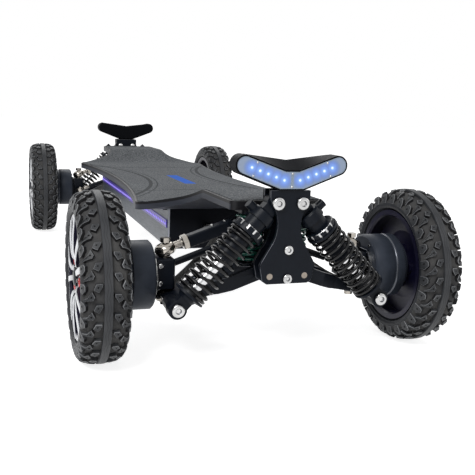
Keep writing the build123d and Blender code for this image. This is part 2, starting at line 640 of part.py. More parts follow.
def tower_face():
    """The tower plate from the front, with its drawn-in waist."""
    corners = [
        ((TOWER_BASE_HALF_WIDTH, TOWER_BASE_Z), 3), ((TOWER_HIP_HALF_WIDTH - 4, TOWER_BASE_Z + 4), 4),
        ((TOWER_HIP_HALF_WIDTH, TOWER_HIP_Z), 12),
        ((TOWER_WAIST_HALF_WIDTH, TOWER_WAIST_LOW_Z), TOWER_WAIST_RADIUS),
        ((TOWER_WAIST_HALF_WIDTH, TOWER_WAIST_HIGH_Z), TOWER_WAIST_RADIUS),
        ((TOWER_HEAD_HALF_WIDTH, TOWER_HEAD_Z), 15),
    ]
    places = [place for place, _ in corners]
    return rounded(mirrored_outline(places + [(TOWER_HEAD_HALF_WIDTH, LAMP_BASE_Z)]), corners)


def truck_frame():
    rear_face = mirrored_outline([
        (30, 112), (36, 118), (36, 133), (26, 148), (26, 170), (34, 177), (34, 190), (31, 193),
    ])
    shaft = pin(0, LEAN_PIVOT_Z, LEAN_SHAFT_RADIUS + RUNNING_GAP, REAR_PLATE_BACK - 5, INNER_TOWER_FRONT + 5)
    dowels = [pin(x, LOWER_PIVOT_Z, PIN_RADIUS, REAR_PLATE_BACK, TOWER_FRONT) for x in (-PIVOT_X, PIVOT_X)]
    top_bolts = []
    for x in (-SHOCK_TOP_X, SHOCK_TOP_X):
        shank = pin(x, SHOCK_TOP_Z, SHOCK_BOLT_RADIUS, INNER_TOWER_BACK, TOWER_FRONT)
        top_bolts.append(shank + button_head(x, SHOCK_TOP_Z, 8.5, TOWER_FRONT, 5.0))
    spacers = []
    for z in (SPINE_BASE_Z + 13.7, UPPER_SPACER_Z):
        shank = pin(0, z, 4.0, INNER_TOWER_BACK, TOWER_FRONT)
        sleeve = pin(0, z, 6.3, INNER_TOWER_FRONT, TOWER_BACK)
        spacers.append(shank + sleeve + button_head(0, z, 6.3, TOWER_FRONT, 4.0))
    link_pins = []
    for x in (-PIVOT_X, PIVOT_X):
        shank = pin(x, UPPER_PIVOT_Z, PIN_RADIUS, REAR_PLATE_BACK, REAR_LEG_FRONT + 0.5)
        link_pins.append(shank + pin(x, UPPER_PIVOT_Z, 6, REAR_LEG_FRONT + 0.5, REAR_LEG_FRONT + 2))
    through = dowels + top_bolts + spacers
    tower = slab(tower_face(), TOWER_BACK, TOWER_FRONT) - through
    inner_tower = slab(tower_face(), INNER_TOWER_BACK, INNER_TOWER_FRONT) - through - shaft
    rear = slab(rear_face, REAR_PLATE_BACK, REAR_PLATE_FRONT) - dowels - link_pins - shaft
    spine = block(-SPINE_HALF_WIDTH, SPINE_HALF_WIDTH, REAR_PLATE_FRONT, INNER_TOWER_BACK,
                  SPINE_BASE_Z, SEAT_PLATE_Z)
    spine = fillet(spine.edges().filter_by(Axis.Y), 2)
    seat_near = LEAN_SPRING_REACH - LEAN_SPRING_RADIUS - 0.5
    seat_far = LEAN_SPRING_REACH + LEAN_SPRING_RADIUS + 0.5
    seat = block(-SEAT_PLATE_HALF_WIDTH, SEAT_PLATE_HALF_WIDTH, seat_near, seat_far,
                 SEAT_PLATE_Z, SEAT_PLATE_TOP_Z)
    seat = fillet(seat.edges().filter_by(Axis.Z), 8)
    guides = []
    for x in (-LEAN_SPRING_X, LEAN_SPRING_X):
        guides.append(post(x, LEAN_SPRING_REACH, LEAN_SPRING_MEAN_RADIUS - LEAN_SPRING_WIRE_RADIUS - 1,
                           SEAT_PLATE_TOP_Z, SEAT_PLATE_TOP_Z + 5))
    rail_low = TIE_INNER_Z - CENTRE_LINK_HALF_HEIGHT - RAIL_GAP
    rail_high = TIE_INNER_Z + CENTRE_LINK_HALF_HEIGHT + RAIL_GAP
    rails = [block(-34, 34, CENTRE_LINK_BACK, REAR_PLATE_BACK, rail_low - 6, rail_low)]
    for inner, outer in ((-30, -14), (14, 30)):
        rails.append(block(inner, outer, CENTRE_LINK_BACK, REAR_PLATE_BACK, rail_high, rail_high + 6))
    return [tower, inner_tower, rear, spine, seat] + guides + rails + through + link_pins


def centre_link():
    low, high = TIE_INNER_Z - CENTRE_LINK_HALF_HEIGHT, TIE_INNER_Z + CENTRE_LINK_HALF_HEIGHT
    half_length = CENTRE_LINK_HALF_LENGTH
    bar = block(-half_length, half_length, CENTRE_LINK_BACK, CENTRE_LINK_FRONT, low, high)
    bar = fillet(bar.edges().filter_by(Axis.Y), 4)
    slot = Pos(0, PEG_Z) * Rot(0, 0, 90) * SlotOverall(14, 2 * PEG_RADIUS + 0.2)
    bar -= slab(slot, CENTRE_LINK_BACK - 5, CENTRE_LINK_FRONT + 5)
    tie_back = TIE_REACH - TIE_EYE_WIDTH / 2
    pins = []
    for x in (-PIVOT_X, PIVOT_X):
        shank = pin(x, TIE_INNER_Z, LINK_PIN_RADIUS, tie_back - 0.5, CENTRE_LINK_BACK + 4)
        pins.append(shank + pin(x, TIE_INNER_Z, 5.5, tie_back - 2.5, tie_back - 0.5))
    return [bar - pins] + pins


# Lamp

def tangent_point(x, z, side):
    """Where a line from this point touches the lobe, on its left (+1) or right (-1)."""
    away = math.hypot(LOBE_X - x, LOBE_Z - z)
    towards = math.atan2(z - LOBE_Z, x - LOBE_X)
    turn = math.acos(LOBE_RADIUS / away)
    angle = towards + side * turn
    return LOBE_X + LOBE_RADIUS * math.cos(angle), LOBE_Z + LOBE_RADIUS * math.sin(angle)


def lamp_band():
    """The lamp's V-shaped front face."""
    lower = tangent_point(LAMP_BASE_HALF_WIDTH, LAMP_BASE_Z, 1)
    upper = tangent_point(LAMP_NOTCH_HALF_WIDTH, LAMP_NOTCH_Z, -1)
    face = mirrored_outline([
        (LAMP_BASE_HALF_WIDTH, LAMP_BASE_Z), lower, (LOBE_X, LOBE_Z), upper,
        (LAMP_NOTCH_HALF_WIDTH, LAMP_NOTCH_Z),
    ])
    for x in (-LOBE_X, LOBE_X):
        face += Pos(x, LOBE_Z) * Circle(LOBE_RADIUS)
    return face


def led_places():
    """Diode centres along each arm of the V, from the middle out."""
    start_x, start_z = 11.0, (LAMP_BASE_Z + LAMP_NOTCH_Z) / 2 + 1.5
    for side in (-1, 1):
        for led in range(LEDS_PER_SIDE):
            share = led / (LEDS_PER_SIDE - 1)
            yield side * (start_x + share * (LOBE_X - start_x)), start_z + share * (LOBE_Z - start_z)


def lamp_housing():
    band = lamp_band()
    body = slab(band, LAMP_BACK, LAMP_FACE)
    back_edges = body.edges().group_by(Axis.Y)[-1]
    body = chamfer(back_edges, 3)
    body -= slab(offset(band, -LENS_BORDER), LAMP_FACE - LENS_DEPTH, LAMP_FACE + 1)
    return [body]


def lamp_lens():
    lens = slab(offset(lamp_band(), -LENS_BORDER), LAMP_FACE - LENS_DEPTH, LAMP_FACE - 1.5)
    low, high = LAMP_BASE_Z + LENS_BORDER + 1, LAMP_NOTCH_Z - LENS_BORDER - 1
    divider = block(-1.5, 1.5, LAMP_FACE - 1.5, LAMP_FACE, low, high)
    pieces = [lens, divider]
    for x, z in led_places():
        pieces.append(pin(x, z, 2.6, LAMP_FACE - 1.5, LAMP_FACE - 0.4))
    return pieces


# Deck

def deck_line(lift):
    """The deck's side view at one height: nose, ramp, platform, ramp and tail."""
    points = [
        (-DECK_REACH - 5, NOSE_TOP_Z), (-RAMP_END_REACH, NOSE_TOP_Z), (-PLATFORM_REACH, PLATFORM_TOP_Z),
        (PLATFORM_REACH, PLATFORM_TOP_Z), (RAMP_END_REACH, NOSE_TOP_Z), (DECK_REACH + 5, NOSE_TOP_Z),
    ]
    return FilletPolyline([(y, z + lift) for y, z in points], radius=60)


def deck_sheet(low, high):
    """A band between two heights of the deck's side view, as wide as the deck."""
    bottom, top = deck_line(low), deck_line(high)
    ends = [Line(bottom @ 0, top @ 0), Line(bottom @ 1, top @ 1)]
    face = make_face(bottom.edges() + top.edges() + ends)
    return extrude(Plane.YZ * face, WING_HALF_WIDTH + 10, both=True)


def deck_plan(inset):
    """The deck seen from above, with its concave sides and wing tips."""
    nose = (NOSE_HALF_WIDTH, DECK_REACH)
    neck = (NECK_HALF_WIDTH, NECK_REACH)
    wing = (WING_HALF_WIDTH, WING_REACH)
    edges = []
    for x_side in (-1, 1):
        edges.append(ThreePointArc((x_side * wing[0], -wing[1]), (x_side * WAIST_HALF_WIDTH, 0),
                                   (x_side * wing[0], wing[1])))
        for y_side in (-1, 1):
            corners = [(x_side * x, y_side * y) for x, y in (wing, neck, nose)]
            edges.append(Line(corners[0], corners[1]))
            edges.append(Line(corners[1], corners[2]))
    for y_side in (-1, 1):
        edges.append(Line((-nose[0], y_side * nose[1]), (nose[0], y_side * nose[1])))
    face = make_face(edges)
    face = rounded(face, [(nose, 9), (wing, 12), (neck, 60)])
    return offset(face, -inset) if inset else face


def deck():
    column = extrude(deck_plan(0), NOSE_TOP_Z + 20)
    return [deck_sheet(-DECK_THICKNESS, -GRIP_THICKNESS) & column]


def grip_tape():
    column = extrude(deck_plan(GRIP_INSET), NOSE_TOP_Z + 20)
    return [deck_sheet(-GRIP_THICKNESS, 0) & column]


# Battery case and what it holds

def case_tub(inset, corner_radius):
    """The case's outer form, or its hollow when inset: a box with steep ends and rounded corners."""
    low = CASE_BASE_Z + inset
    profile = outline([
        (-CASE_BASE_REACH + inset, low), (CASE_BASE_REACH - inset, low),
        (CASE_TOP_REACH - inset, DECK_UNDER_Z), (-CASE_TOP_REACH + inset, DECK_UNDER_Z),
    ])
    tub = extrude(Plane.YZ * profile, CASE_HALF_WIDTH - inset, both=True)
    upright = [edge for edge in tub.edges() if abs(edge.tangent_at(0).Z) > 0.1]
    tub = fillet(upright, corner_radius)
    return fillet(tub.edges().group_by(Axis.Z)[0], corner_radius / 2)


def battery_case():
    tub = case_tub(0, CASE_CORNER_RADIUS)
    lip_width = CASE_HALF_WIDTH + FLANGE_WIDTH
    lip_low = DECK_UNDER_Z - FLANGE_THICKNESS
    lip = block(-lip_width, lip_width, -STRIP_REACH, STRIP_REACH, lip_low, DECK_UNDER_Z)
    lip = fillet(lip.edges().filter_by(Axis.Z), FLANGE_WIDTH / 2)
    shell = tub + lip - case_tub(CASE_WALL, CASE_CORNER_RADIUS - CASE_WALL)
    glands = []
    for x, _, z in (CABLE_ROUTE[-1], mirror_point(CABLE_ROUTE[-1])):
        for direction in (-1, 1):
            end = direction * CABLE_END_REACH
            glands.append(pin(x, z, GLAND_RADIUS, min(0, end), max(0, end)) - tub)
    return [shell] + glands


def battery_and_controller():
    floor = CASE_BASE_Z + CASE_WALL
    half_width = CASE_HALF_WIDTH - CASE_WALL - 2
    pack = block(-half_width, half_width, -PACK_REACH, PACK_REACH, floor, floor + PACK_HEIGHT)
    pack = fillet(pack.edges().filter_by(Axis.X), 4)
    controller_near = PACK_REACH + CONTROLLER_GAP
    controller_far = CASE_BASE_REACH - CASE_WALL - CONTROLLER_GAP
    controllers = []
    for near, far in ((-controller_far, -controller_near), (controller_near, controller_far)):
        controllers.append(block(-half_width + CONTROLLER_GAP, half_width - CONTROLLER_GAP, near, far,
                                 floor, floor + CONTROLLER_HEIGHT))
    return [pack] + controllers


def side_light_strips():
    strips = []
    for side in (-1, 1):
        inner, outer = CASE_HALF_WIDTH * side, (CASE_HALF_WIDTH + STRIP_DEPTH) * side
        strips.append(block(min(inner, outer), max(inner, outer), -STRIP_REACH, STRIP_REACH,
                            STRIP_TOP_Z - STRIP_HEIGHT, STRIP_TOP_Z))
    return strips


# Brackets that hang the trucks on the deck

def deck_bracket():
    near = LEAN_SPRING_REACH - LEAN_SPRING_RADIUS - 2
    far = LEAN_SPRING_REACH + LEAN_SPRING_RADIUS + 1
    shaft_back = LEVER_BACK
    shaft_front = INNER_TOWER_FRONT + 0.5
    plate = block(-BRACKET_HALF_WIDTH, BRACKET_HALF_WIDTH, near, far, BRACKET_BASE_Z, DECK_UNDER_NOSE_Z)
    plate = fillet(plate.edges().filter_by(Axis.Z), 8)
    web = block(-6, 6, near, far, LEAN_PIVOT_Z, BRACKET_BASE_Z)
    barrel = pin(0, LEAN_PIVOT_Z, BARREL_RADIUS, REAR_PLATE_FRONT + 1, INNER_TOWER_BACK - 1)
    shaft = pin(0, LEAN_PIVOT_Z, LEAN_SHAFT_RADIUS, shaft_back, shaft_front)
    bracket = plate + web + barrel - shaft
    lever_face = Pos(0, LEAN_PIVOT_Z) * Circle(9) + Pos(0, PEG_Z) * Circle(6)
    lever_face += outline([(-9, LEAN_PIVOT_Z), (-6, PEG_Z), (6, PEG_Z), (9, LEAN_PIVOT_Z)])
    lever = slab(lever_face, LEVER_BACK, LEVER_FRONT)
    lever += pin(0, PEG_Z, PEG_RADIUS, CENTRE_LINK_BACK + 1, LEVER_BACK)
    lever -= shaft
    head = pin(0, LEAN_PIVOT_Z, 8, shaft_front, shaft_front + 5)
    return [bracket, shaft + head, lever]


# Motor cables: from each hub motor, under the steering arm and over to the battery case

CABLE_ROUTE = [
    (152.0, 480.0, 86.0), (133.0, 480.0, 86.0), (115.0, 475.0, 94.0), (97.0, 466.0, 106.0),
    (79.0, 455.0, 118.0), (61.0, 442.0, 129.0), (46.0, 424.0, 138.0), (38.0, 401.0, 143.0),
    (36.0, 379.0, 144.0), (36.0, CABLE_END_REACH, 144.0),
]


def mirror_point(point):
    return -point[0], point[1], point[2]


def motor_cable():
    points = [Vector(x, -reach, z) for x, reach, z in CABLE_ROUTE]
    radii = []
    for before, here, after in zip(points, points[1:], points[2:]):
        shorter = min((here - before).length, (after - here).length)
        turn = math.radians((here - before).get_angle(after - here))
        radii.append(0.45 * shorter / math.tan(turn / 2))
    path = FilletPolyline(points, radius=radii)
    section = Plane(origin=path @ 0, z_dir=path % 0) * Circle(CABLE_RADIUS)
    solid = sweep(section, path=path)
    expected = math.pi * CABLE_RADIUS ** 2 * path.length
    print("cable radii", [round(radius) for radius in radii])
    print(f"cable length {path.length:.0f} mm, volume {solid.volume:.0f} of {expected:.0f} mm3")
    return solid


# Putting the corners together

def place(pieces, side, end):
    """Moves front left pieces to another corner."""
    if side == "right":
        pieces = [mirror(piece, about=Plane.YZ) for piece in pieces]
    if end == "rear":
        pieces = [Rot(0, 0, 180) * piece for piece in pieces]
    return pieces


def corner_of(side, end):
    """A piece that is mirrored and half turned lands on the other side."""
    if end == "front":
        return side
    return "left" if side == "right" else "right"


def node(name, pieces):
    solids = [solid for piece in pieces for solid in piece.solids()]
    whole = solids[0] if len(solids) == 1 else Compound(children=solids)
    whole.label = name
    export_step(whole, os.path.join("parts", name + ".step"))


def springs_on_shocks(spring):
    """The same spring on each shock, not mirrored, so that all four wind the same way."""
    placed = {}
    angle = math.radians(SHOCK_ANGLE)
    for end, turn in (("front", 0), ("rear", 180)):
        for side, sign in (("left", 1), ("right", -1)):
            direction = (sign * math.cos(angle), 0, -math.sin(angle))
            top = (sign * (SHOCK_TOP_X + SPRING_TOP * math.cos(angle)), -SHOCK_REACH,
                   SHOCK_TOP_Z - SPRING_TOP * math.sin(angle))
            frame = Plane(origin=top, x_dir=(0, 1, 0), z_dir=direction)
            placed[end, corner_of(side, end)] = Rot(0, 0, turn) * (frame.location * spring)
    return placed


def main():
    os.makedirs("parts", exist_ok=True)
    corner_pieces = {
        "lower_arm": lower_arm(), "kingpin": kingpin(), "knuckle": knuckle(), "hub_motor": hub_motor(),
        "rim": rim(), "tyre": tyre(), "upper_link": upper_link(), "shock_body": shock_body(),
        "shock_rod": shock_rod(), "tie_rod": tie_rod(),
    }
    for name, pieces in corner_pieces.items():
        for end in ("front", "rear"):
            for side in ("left", "right"):
                node(f"{end}_{corner_of(side, end)}_{name}", place(pieces, side, end))
    shock_spring = coil_spring(SPRING_MEAN_RADIUS, SPRING_WIRE_RADIUS, SPRING_FOOT - SPRING_TOP, SPRING_TURNS)
    for (end, side), spring in springs_on_shocks(shock_spring).items():
        node(f"{end}_{side}_shock_spring", [spring])
    truck_pieces = {
        "truck_frame": truck_frame(), "centre_link": centre_link(), "lamp_housing": lamp_housing(),
        "lamp_lens": lamp_lens(),
    }
    for name, pieces in truck_pieces.items():
        for end in ("front", "rear"):
            node(f"{end}_{name}", place(pieces, "left", end))
    node("deck_brackets", place(deck_bracket(), "left", "front") + place(deck_bracket(), "left", "rear"))
    lean_spring = coil_spring(LEAN_SPRING_MEAN_RADIUS, LEAN_SPRING_WIRE_RADIUS,
                              BRACKET_BASE_Z - SEAT_PLATE_TOP_Z, LEAN_SPRING_TURNS)
    lean_springs = []
    for x in (-LEAN_SPRING_X, LEAN_SPRING_X):
        for reach in (-LEAN_SPRING_REACH, LEAN_SPRING_REACH):
            lean_springs.append(Pos(x, reach, SEAT_PLATE_TOP_Z) * lean_spring)
    node("lean_springs", lean_springs)
    cable = motor_cable()
    cables = []
    for side in ("left", "right"):
        for end in ("front", "rear"):
            cables += place([cable], side, end)
    node("motor_cables", cables)
    node("deck", deck())
    node("grip_tape", grip_tape())
    node("battery_case", battery_case())
    node("battery_and_controller", battery_and_controller())
    node("side_light_strips", side_light_strips())


main()
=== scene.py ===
import math
import random

import bpy
import bmesh
from mathutils import Matrix, Vector


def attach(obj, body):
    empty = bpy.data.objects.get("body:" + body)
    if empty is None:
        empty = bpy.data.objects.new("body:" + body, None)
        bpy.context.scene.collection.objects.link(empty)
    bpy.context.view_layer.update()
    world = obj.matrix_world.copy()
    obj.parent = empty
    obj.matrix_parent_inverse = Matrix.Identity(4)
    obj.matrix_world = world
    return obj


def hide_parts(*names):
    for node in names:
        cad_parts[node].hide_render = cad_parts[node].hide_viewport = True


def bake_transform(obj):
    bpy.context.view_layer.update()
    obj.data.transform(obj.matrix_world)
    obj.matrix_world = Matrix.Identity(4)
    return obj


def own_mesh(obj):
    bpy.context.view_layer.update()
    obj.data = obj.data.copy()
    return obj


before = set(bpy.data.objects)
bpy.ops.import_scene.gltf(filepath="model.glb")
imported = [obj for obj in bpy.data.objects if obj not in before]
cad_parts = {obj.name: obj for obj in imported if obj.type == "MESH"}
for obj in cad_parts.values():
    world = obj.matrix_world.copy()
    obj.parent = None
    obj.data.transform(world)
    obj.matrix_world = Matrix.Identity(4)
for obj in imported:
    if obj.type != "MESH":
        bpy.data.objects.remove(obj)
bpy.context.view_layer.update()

# The finish of an electric mountainboard. Shapes are drawn in millimetres at the front left corner
# of the board, as (x across, y back, z up), and mirrored to the other corners.
MM = 0.001
CORNERS = {
    "front_left": (1, 1), "front_right": (-1, 1), "rear_left": (1, -1), "rear_right": (-1, -1),
}
ENDS = {"front": (1, 1), "rear": (-1, -1)}

# Wheels
WHEEL_X, AXLE_Y, AXLE_Z = 229.0, -505.0, 112.5
TYRE_RADIUS = 112.5
LUG_REPEATS = 28
GROOVE_DEPTH = 4.6
HUB_LOBES, HUB_BOSS_CIRCLE, HUB_LOBE_CIRCLE = 5, 28.5, 25.0
SPOKE_SLOPE, SPOKE_ROOT = 0.287, 3.0
# Along each spoke: distance from the axle, half width, outer face and inner face
SPOKE_STATIONS = [(23.5, 3.4, 26.0, 22.0), (27.0, 3.5, 28.6, 22.0), (34.0, 3.7, 29.8, 22.0),
                  (50.0, 4.1, 29.8, 20.0), (66.0, 4.6, 28.6, 14.0), (78.0, 5.0, 27.6, 10.0)]

# Suspension
PIVOT_X, LOWER_PIVOT_Z, UPPER_PIVOT_Z = 24.0, 125.0, 186.0
KINGPIN_X, LOWER_BALL_Z, UPPER_BALL_Z = 138.0, 85.0, 146.0
LINK_DROOP = math.atan2(LOWER_PIVOT_Z - LOWER_BALL_Z, KINGPIN_X - PIVOT_X)
SHOCK_TOP = Vector((16.5, -584.0, 218.4))
SHOCK_FOOT = Vector((141.0, -584.0, 86.0))
SPRING_TOP, SPRING_FOOT = 54.0, 157.0
LINK_NUT, LINK_TOP, LINK_SCREWS = 87.5, 7.5, (31.0, 50.0)
TOWER_FRONT = 598.0
TOWER_BACK = 592.0
INNER_TOWER_FRONT = 576.0

# Lamp
LAMP_FACE = 600.0
LOBE_X, LOBE_Z, LOBE_RADIUS = 62.3, 266.3, 12.7
LAMP_BASE_Z, LAMP_BASE_HALF = 235.0, 16.0
LAMP_NOTCH_Z, LAMP_NOTCH_HALF = 260.5, 9.0
LENS_EDGE = 2.3
LAMP_BACK, HOOD_NOTCH_Z = 572.0, 271.5
TOWER_INSIDE = 570.0
LED_FIRST, LED_LAST = (10.6, 247.8), (54.0, 263.5)
LED_DOME = [(0.1, 1.3), (0.5, 1.1), (0.8, 0.6), (0.9, 0.01)]
LENS_SCREWS = [(0.0, 239.4), (0.0, 256.2), (47.0, 269.7), (52.0, 253.2)]

# Deck
RAMP_START, RAMP_END = 345.0, 445.0
PLATFORM_Z, NOSE_Z = 190.0, 218.0
BLACK_BAND = 5.5
BLACK_END = 553.0

# Camera, fitted to the photograph
CAMERA_PLACE = (-353.861, -1425.714, 336.355)
CAMERA_AZIMUTH, CAMERA_ELEVATION, CAMERA_ROLL = 19.0036, -10.3234, 2.0244
CAMERA_LENS = 54.664


# Materials

def nodes_of(name):
    """A new material with its node tree, shader and coordinates."""
    made = bpy.data.materials.new(name)
    made.use_nodes = True
    tree = made.node_tree
    shader = tree.nodes["Principled BSDF"]
    places = tree.nodes.new("ShaderNodeTexCoord")
    return made, tree, shader, places.outputs["Object"]


def noise(tree, places, scale, detail=3.0, stretch=None):
    """Noise with this many cells to a metre."""
    texture = tree.nodes.new("ShaderNodeTexNoise")
    texture.inputs["Scale"].default_value = scale
    texture.inputs["Detail"].default_value = detail
    if stretch:
        mapping = tree.nodes.new("ShaderNodeMapping")
        mapping.inputs["Scale"].default_value = stretch
        tree.links.new(places, mapping.inputs["Vector"])
        places = mapping.outputs["Vector"]
    tree.links.new(places, texture.inputs["Vector"])
    return texture.outputs["Fac"]


def ramp(tree, factor, stops):
    """A colour ramp from (position, colour) stops."""
    made = tree.nodes.new("ShaderNodeValToRGB")
    elements = made.color_ramp.elements
    while len(elements) < len(stops):
        elements.new(0.5)
    for element, (position, colour) in zip(elements, stops):
        element.position = position
        element.color = (*colour, 1.0)
    tree.links.new(factor, made.inputs["Fac"])
    return made.outputs["Color"]


def spread(tree, factor, low, high):
    made = tree.nodes.new("ShaderNodeMapRange")
    made.inputs["From Min"].default_value = 0.3
    made.inputs["From Max"].default_value = 0.7
    made.inputs["To Min"].default_value = low
    made.inputs["To Max"].default_value = high
    tree.links.new(factor, made.inputs["Value"])
    return made.outputs["Result"]


def bump(tree, shader, height, strength, distance):
    made = tree.nodes.new("ShaderNodeBump")
    made.inputs["Strength"].default_value = strength
    made.inputs["Distance"].default_value = distance
    tree.links.new(height, made.inputs["Height"])
    tree.links.new(made.outputs["Normal"], shader.inputs["Normal"])


def scaled(colour, share):
    return tuple(channel * share for channel in colour)


def finish(name, colour, roughness, metallic=0.0, specular=0.5, coat=0.0, grain=900.0,
           vary=0.12, rough_vary=0.06, relief=0.1, relief_depth=0.0001, stretch=None):
    """A surface with a little cloudiness in colour and gloss, and a fine relief."""
    made, tree, shader, places = nodes_of(name)
    clouds = noise(tree, places, 60.0, 4.0)
    shader.inputs["Metallic"].default_value = metallic
    shader.inputs["Specular IOR Level"].default_value = specular
    shader.inputs["Coat Weight"].default_value = coat
    shader.inputs["Coat Roughness"].default_value = 0.15
    tones = ramp(tree, clouds, [(0.3, scaled(colour, 1 - vary)), (0.7, scaled(colour, 1 + vary))])
    tree.links.new(tones, shader.inputs["Base Color"])
    fine = noise(tree, places, grain, 2.0, stretch)
    gloss = spread(tree, fine, max(roughness - rough_vary, 0.02), roughness + rough_vary)
    tree.links.new(gloss, shader.inputs["Roughness"])
    bump(tree, shader, fine, relief, relief_depth)
    return made


def glow(name, colour, strength, base=(0.5, 0.5, 0.5)):
    """A lit surface: its own light varies a little, so that it isn't flat."""
    made, tree, shader, places = nodes_of(name)
    clouds = noise(tree, places, 40.0)
    shader.inputs["Base Color"].default_value = (*base, 1.0)
    tones = ramp(tree, clouds, [(0.25, scaled(colour, 0.75)), (0.75, colour)])
    tree.links.new(tones, shader.inputs["Emission Color"])
    shader.inputs["Emission Strength"].default_value = strength
    shader.inputs["Roughness"].default_value = 0.3
    return made


def value_node(tree, operation, *inputs):
    """A math node whose inputs are other nodes' outputs or plain numbers."""
    made = tree.nodes.new("ShaderNodeMath")
    made.operation = operation
    for socket, given in zip(made.inputs, inputs):
        if isinstance(given, (int, float)):
            socket.default_value = given
        else:
            tree.links.new(given, socket)
    return made.outputs["Value"]


def split_places(tree, places):
    """The x, y and z of the object's own coordinates."""
    made = tree.nodes.new("ShaderNodeSeparateXYZ")
    tree.links.new(places, made.inputs["Vector"])
    return made.outputs["X"], made.outputs["Y"], made.outputs["Z"]


def blend_colours(tree, factor, first, second, kind="MIX"):
    """Mixes two colours, each a node's output or three numbers."""
    made = tree.nodes.new("ShaderNodeMix")
    made.data_type = "RGBA"
    made.blend_type = kind
    for name, given in (("Factor", factor), ("A", first), ("B", second)):
        if isinstance(given, (int, float)):
            made.inputs[name].default_value = given
        elif isinstance(given, tuple):
            made.inputs[name].default_value = (*given, 1.0)
        else:
            tree.links.new(given, made.inputs[name])
    return made.outputs["Result"]


def distance_to(tree, across, along, at):
    """Distance in metres from a point given in millimetres, in one plane."""
    first = value_node(tree, "SUBTRACT", across, at[0] * MM)
    second = value_node(tree, "SUBTRACT", along, at[1] * MM)
    squares = [value_node(tree, "MULTIPLY", part, part) for part in (first, second)]
    return value_node(tree, "SQRT", value_node(tree, "ADD", *squares))


GRIP_RINGS = [((640.0, 0.0), 576.0, 7.0), ((-640.0, 0.0), 576.0, 7.0), ((640.0, 0.0), 588.0, 2.5),
              ((-640.0, 0.0), 588.0, 2.5), ((0.0, 640.0), 430.0, 5.0), ((0.0, -640.0), 430.0, 5.0)]
GRIP_BAR = ((0.0, -40.0), (11.0, 78.0))


def grip_finish():
    """Sprayed-on grit: grey with paler and darker specks, thin dark lines and a plain blue bar."""
    made, tree, shader, places = nodes_of("grip_grit")
    specks = noise(tree, places, 420.0, 2.0)
    patches = noise(tree, places, 12.0, 2.0)
    speckled = ramp(tree, specks, [
        (0.34, (0.055, 0.06, 0.066)), (0.5, (0.105, 0.112, 0.12)), (0.64, (0.2, 0.21, 0.22)),
    ])
    shade = ramp(tree, patches, [(0.3, (0.9, 0.9, 0.9)), (0.7, (1.08, 1.08, 1.08))])
    grit = blend_colours(tree, 1.0, speckled, shade, "MULTIPLY")
    x, y, _ = split_places(tree, places)
    lined = None
    for centre, radius, width in GRIP_RINGS:
        away = value_node(tree, "SUBTRACT", distance_to(tree, x, y, centre), radius * MM)
        on_line = value_node(tree, "LESS_THAN", value_node(tree, "ABSOLUTE", away), width / 2 * MM)
        lined = value_node(tree, "MAXIMUM", lined, on_line) if lined else on_line
    inside = []
    for place, middle, half in zip((x, y), *GRIP_BAR):
        away = value_node(tree, "ABSOLUTE", value_node(tree, "SUBTRACT", place, middle * MM))
        inside.append(value_node(tree, "LESS_THAN", away, half * MM))
    barred = value_node(tree, "MULTIPLY", *inside)
    printed = blend_colours(tree, value_node(tree, "MULTIPLY", lined, 0.8), grit, (0.022, 0.024, 0.027))
    printed = blend_colours(tree, value_node(tree, "MULTIPLY", barred, 0.85), printed, (0.02, 0.13, 0.62))
    tree.links.new(printed, shader.inputs["Base Color"])
    shader.inputs["Roughness"].default_value = 0.9
    shader.inputs["Specular IOR Level"].default_value = 0.15
    bump(tree, shader, specks, 0.35, 0.0004)
    return made


def deck_finish():
    """Grey-blue laminate with black ends and a black band along the top of its edge."""
    made, tree, shader, places = nodes_of("deck_edge")
    _, y, z = split_places(tree, places)
    climb = tree.nodes.new("ShaderNodeMapRange")
    climb.interpolation_type = "SMOOTHSTEP"
    climb.inputs["From Min"].default_value = RAMP_START * MM
    climb.inputs["From Max"].default_value = RAMP_END * MM
    climb.inputs["To Min"].default_value = (PLATFORM_Z - BLACK_BAND) * MM
    climb.inputs["To Max"].default_value = (NOSE_Z - BLACK_BAND) * MM
    reach = value_node(tree, "ABSOLUTE", y)
    tree.links.new(reach, climb.inputs["Value"])
    band = value_node(tree, "GREATER_THAN", value_node(tree, "SUBTRACT", z, climb.outputs["Result"]), 0.0)
    band = value_node(tree, "MAXIMUM", band, value_node(tree, "GREATER_THAN", reach, BLACK_END * MM))
    layers = noise(tree, places, 500.0, 3.0, (0.02, 0.02, 1.0))
    laminate = ramp(tree, layers, [(0.35, (0.030, 0.034, 0.045)), (0.65, (0.044, 0.048, 0.062))])
    tree.links.new(blend_colours(tree, band, laminate, (0.006, 0.006, 0.008)), shader.inputs["Base Color"])
    shader.inputs["Roughness"].default_value = 0.5
    shader.inputs["Specular IOR Level"].default_value = 0.25
    bump(tree, shader, noise(tree, places, 900.0, 2.0), 0.12, 0.0001)
    return made


def led_places():
    """Diode centres on one half of the lamp, as (x, z) from the middle out."""
    shares = [led / 4 for led in range(5)]
    return [tuple(first + share * (last - first) for first, last in zip(LED_FIRST, LED_LAST)) for share in shares]


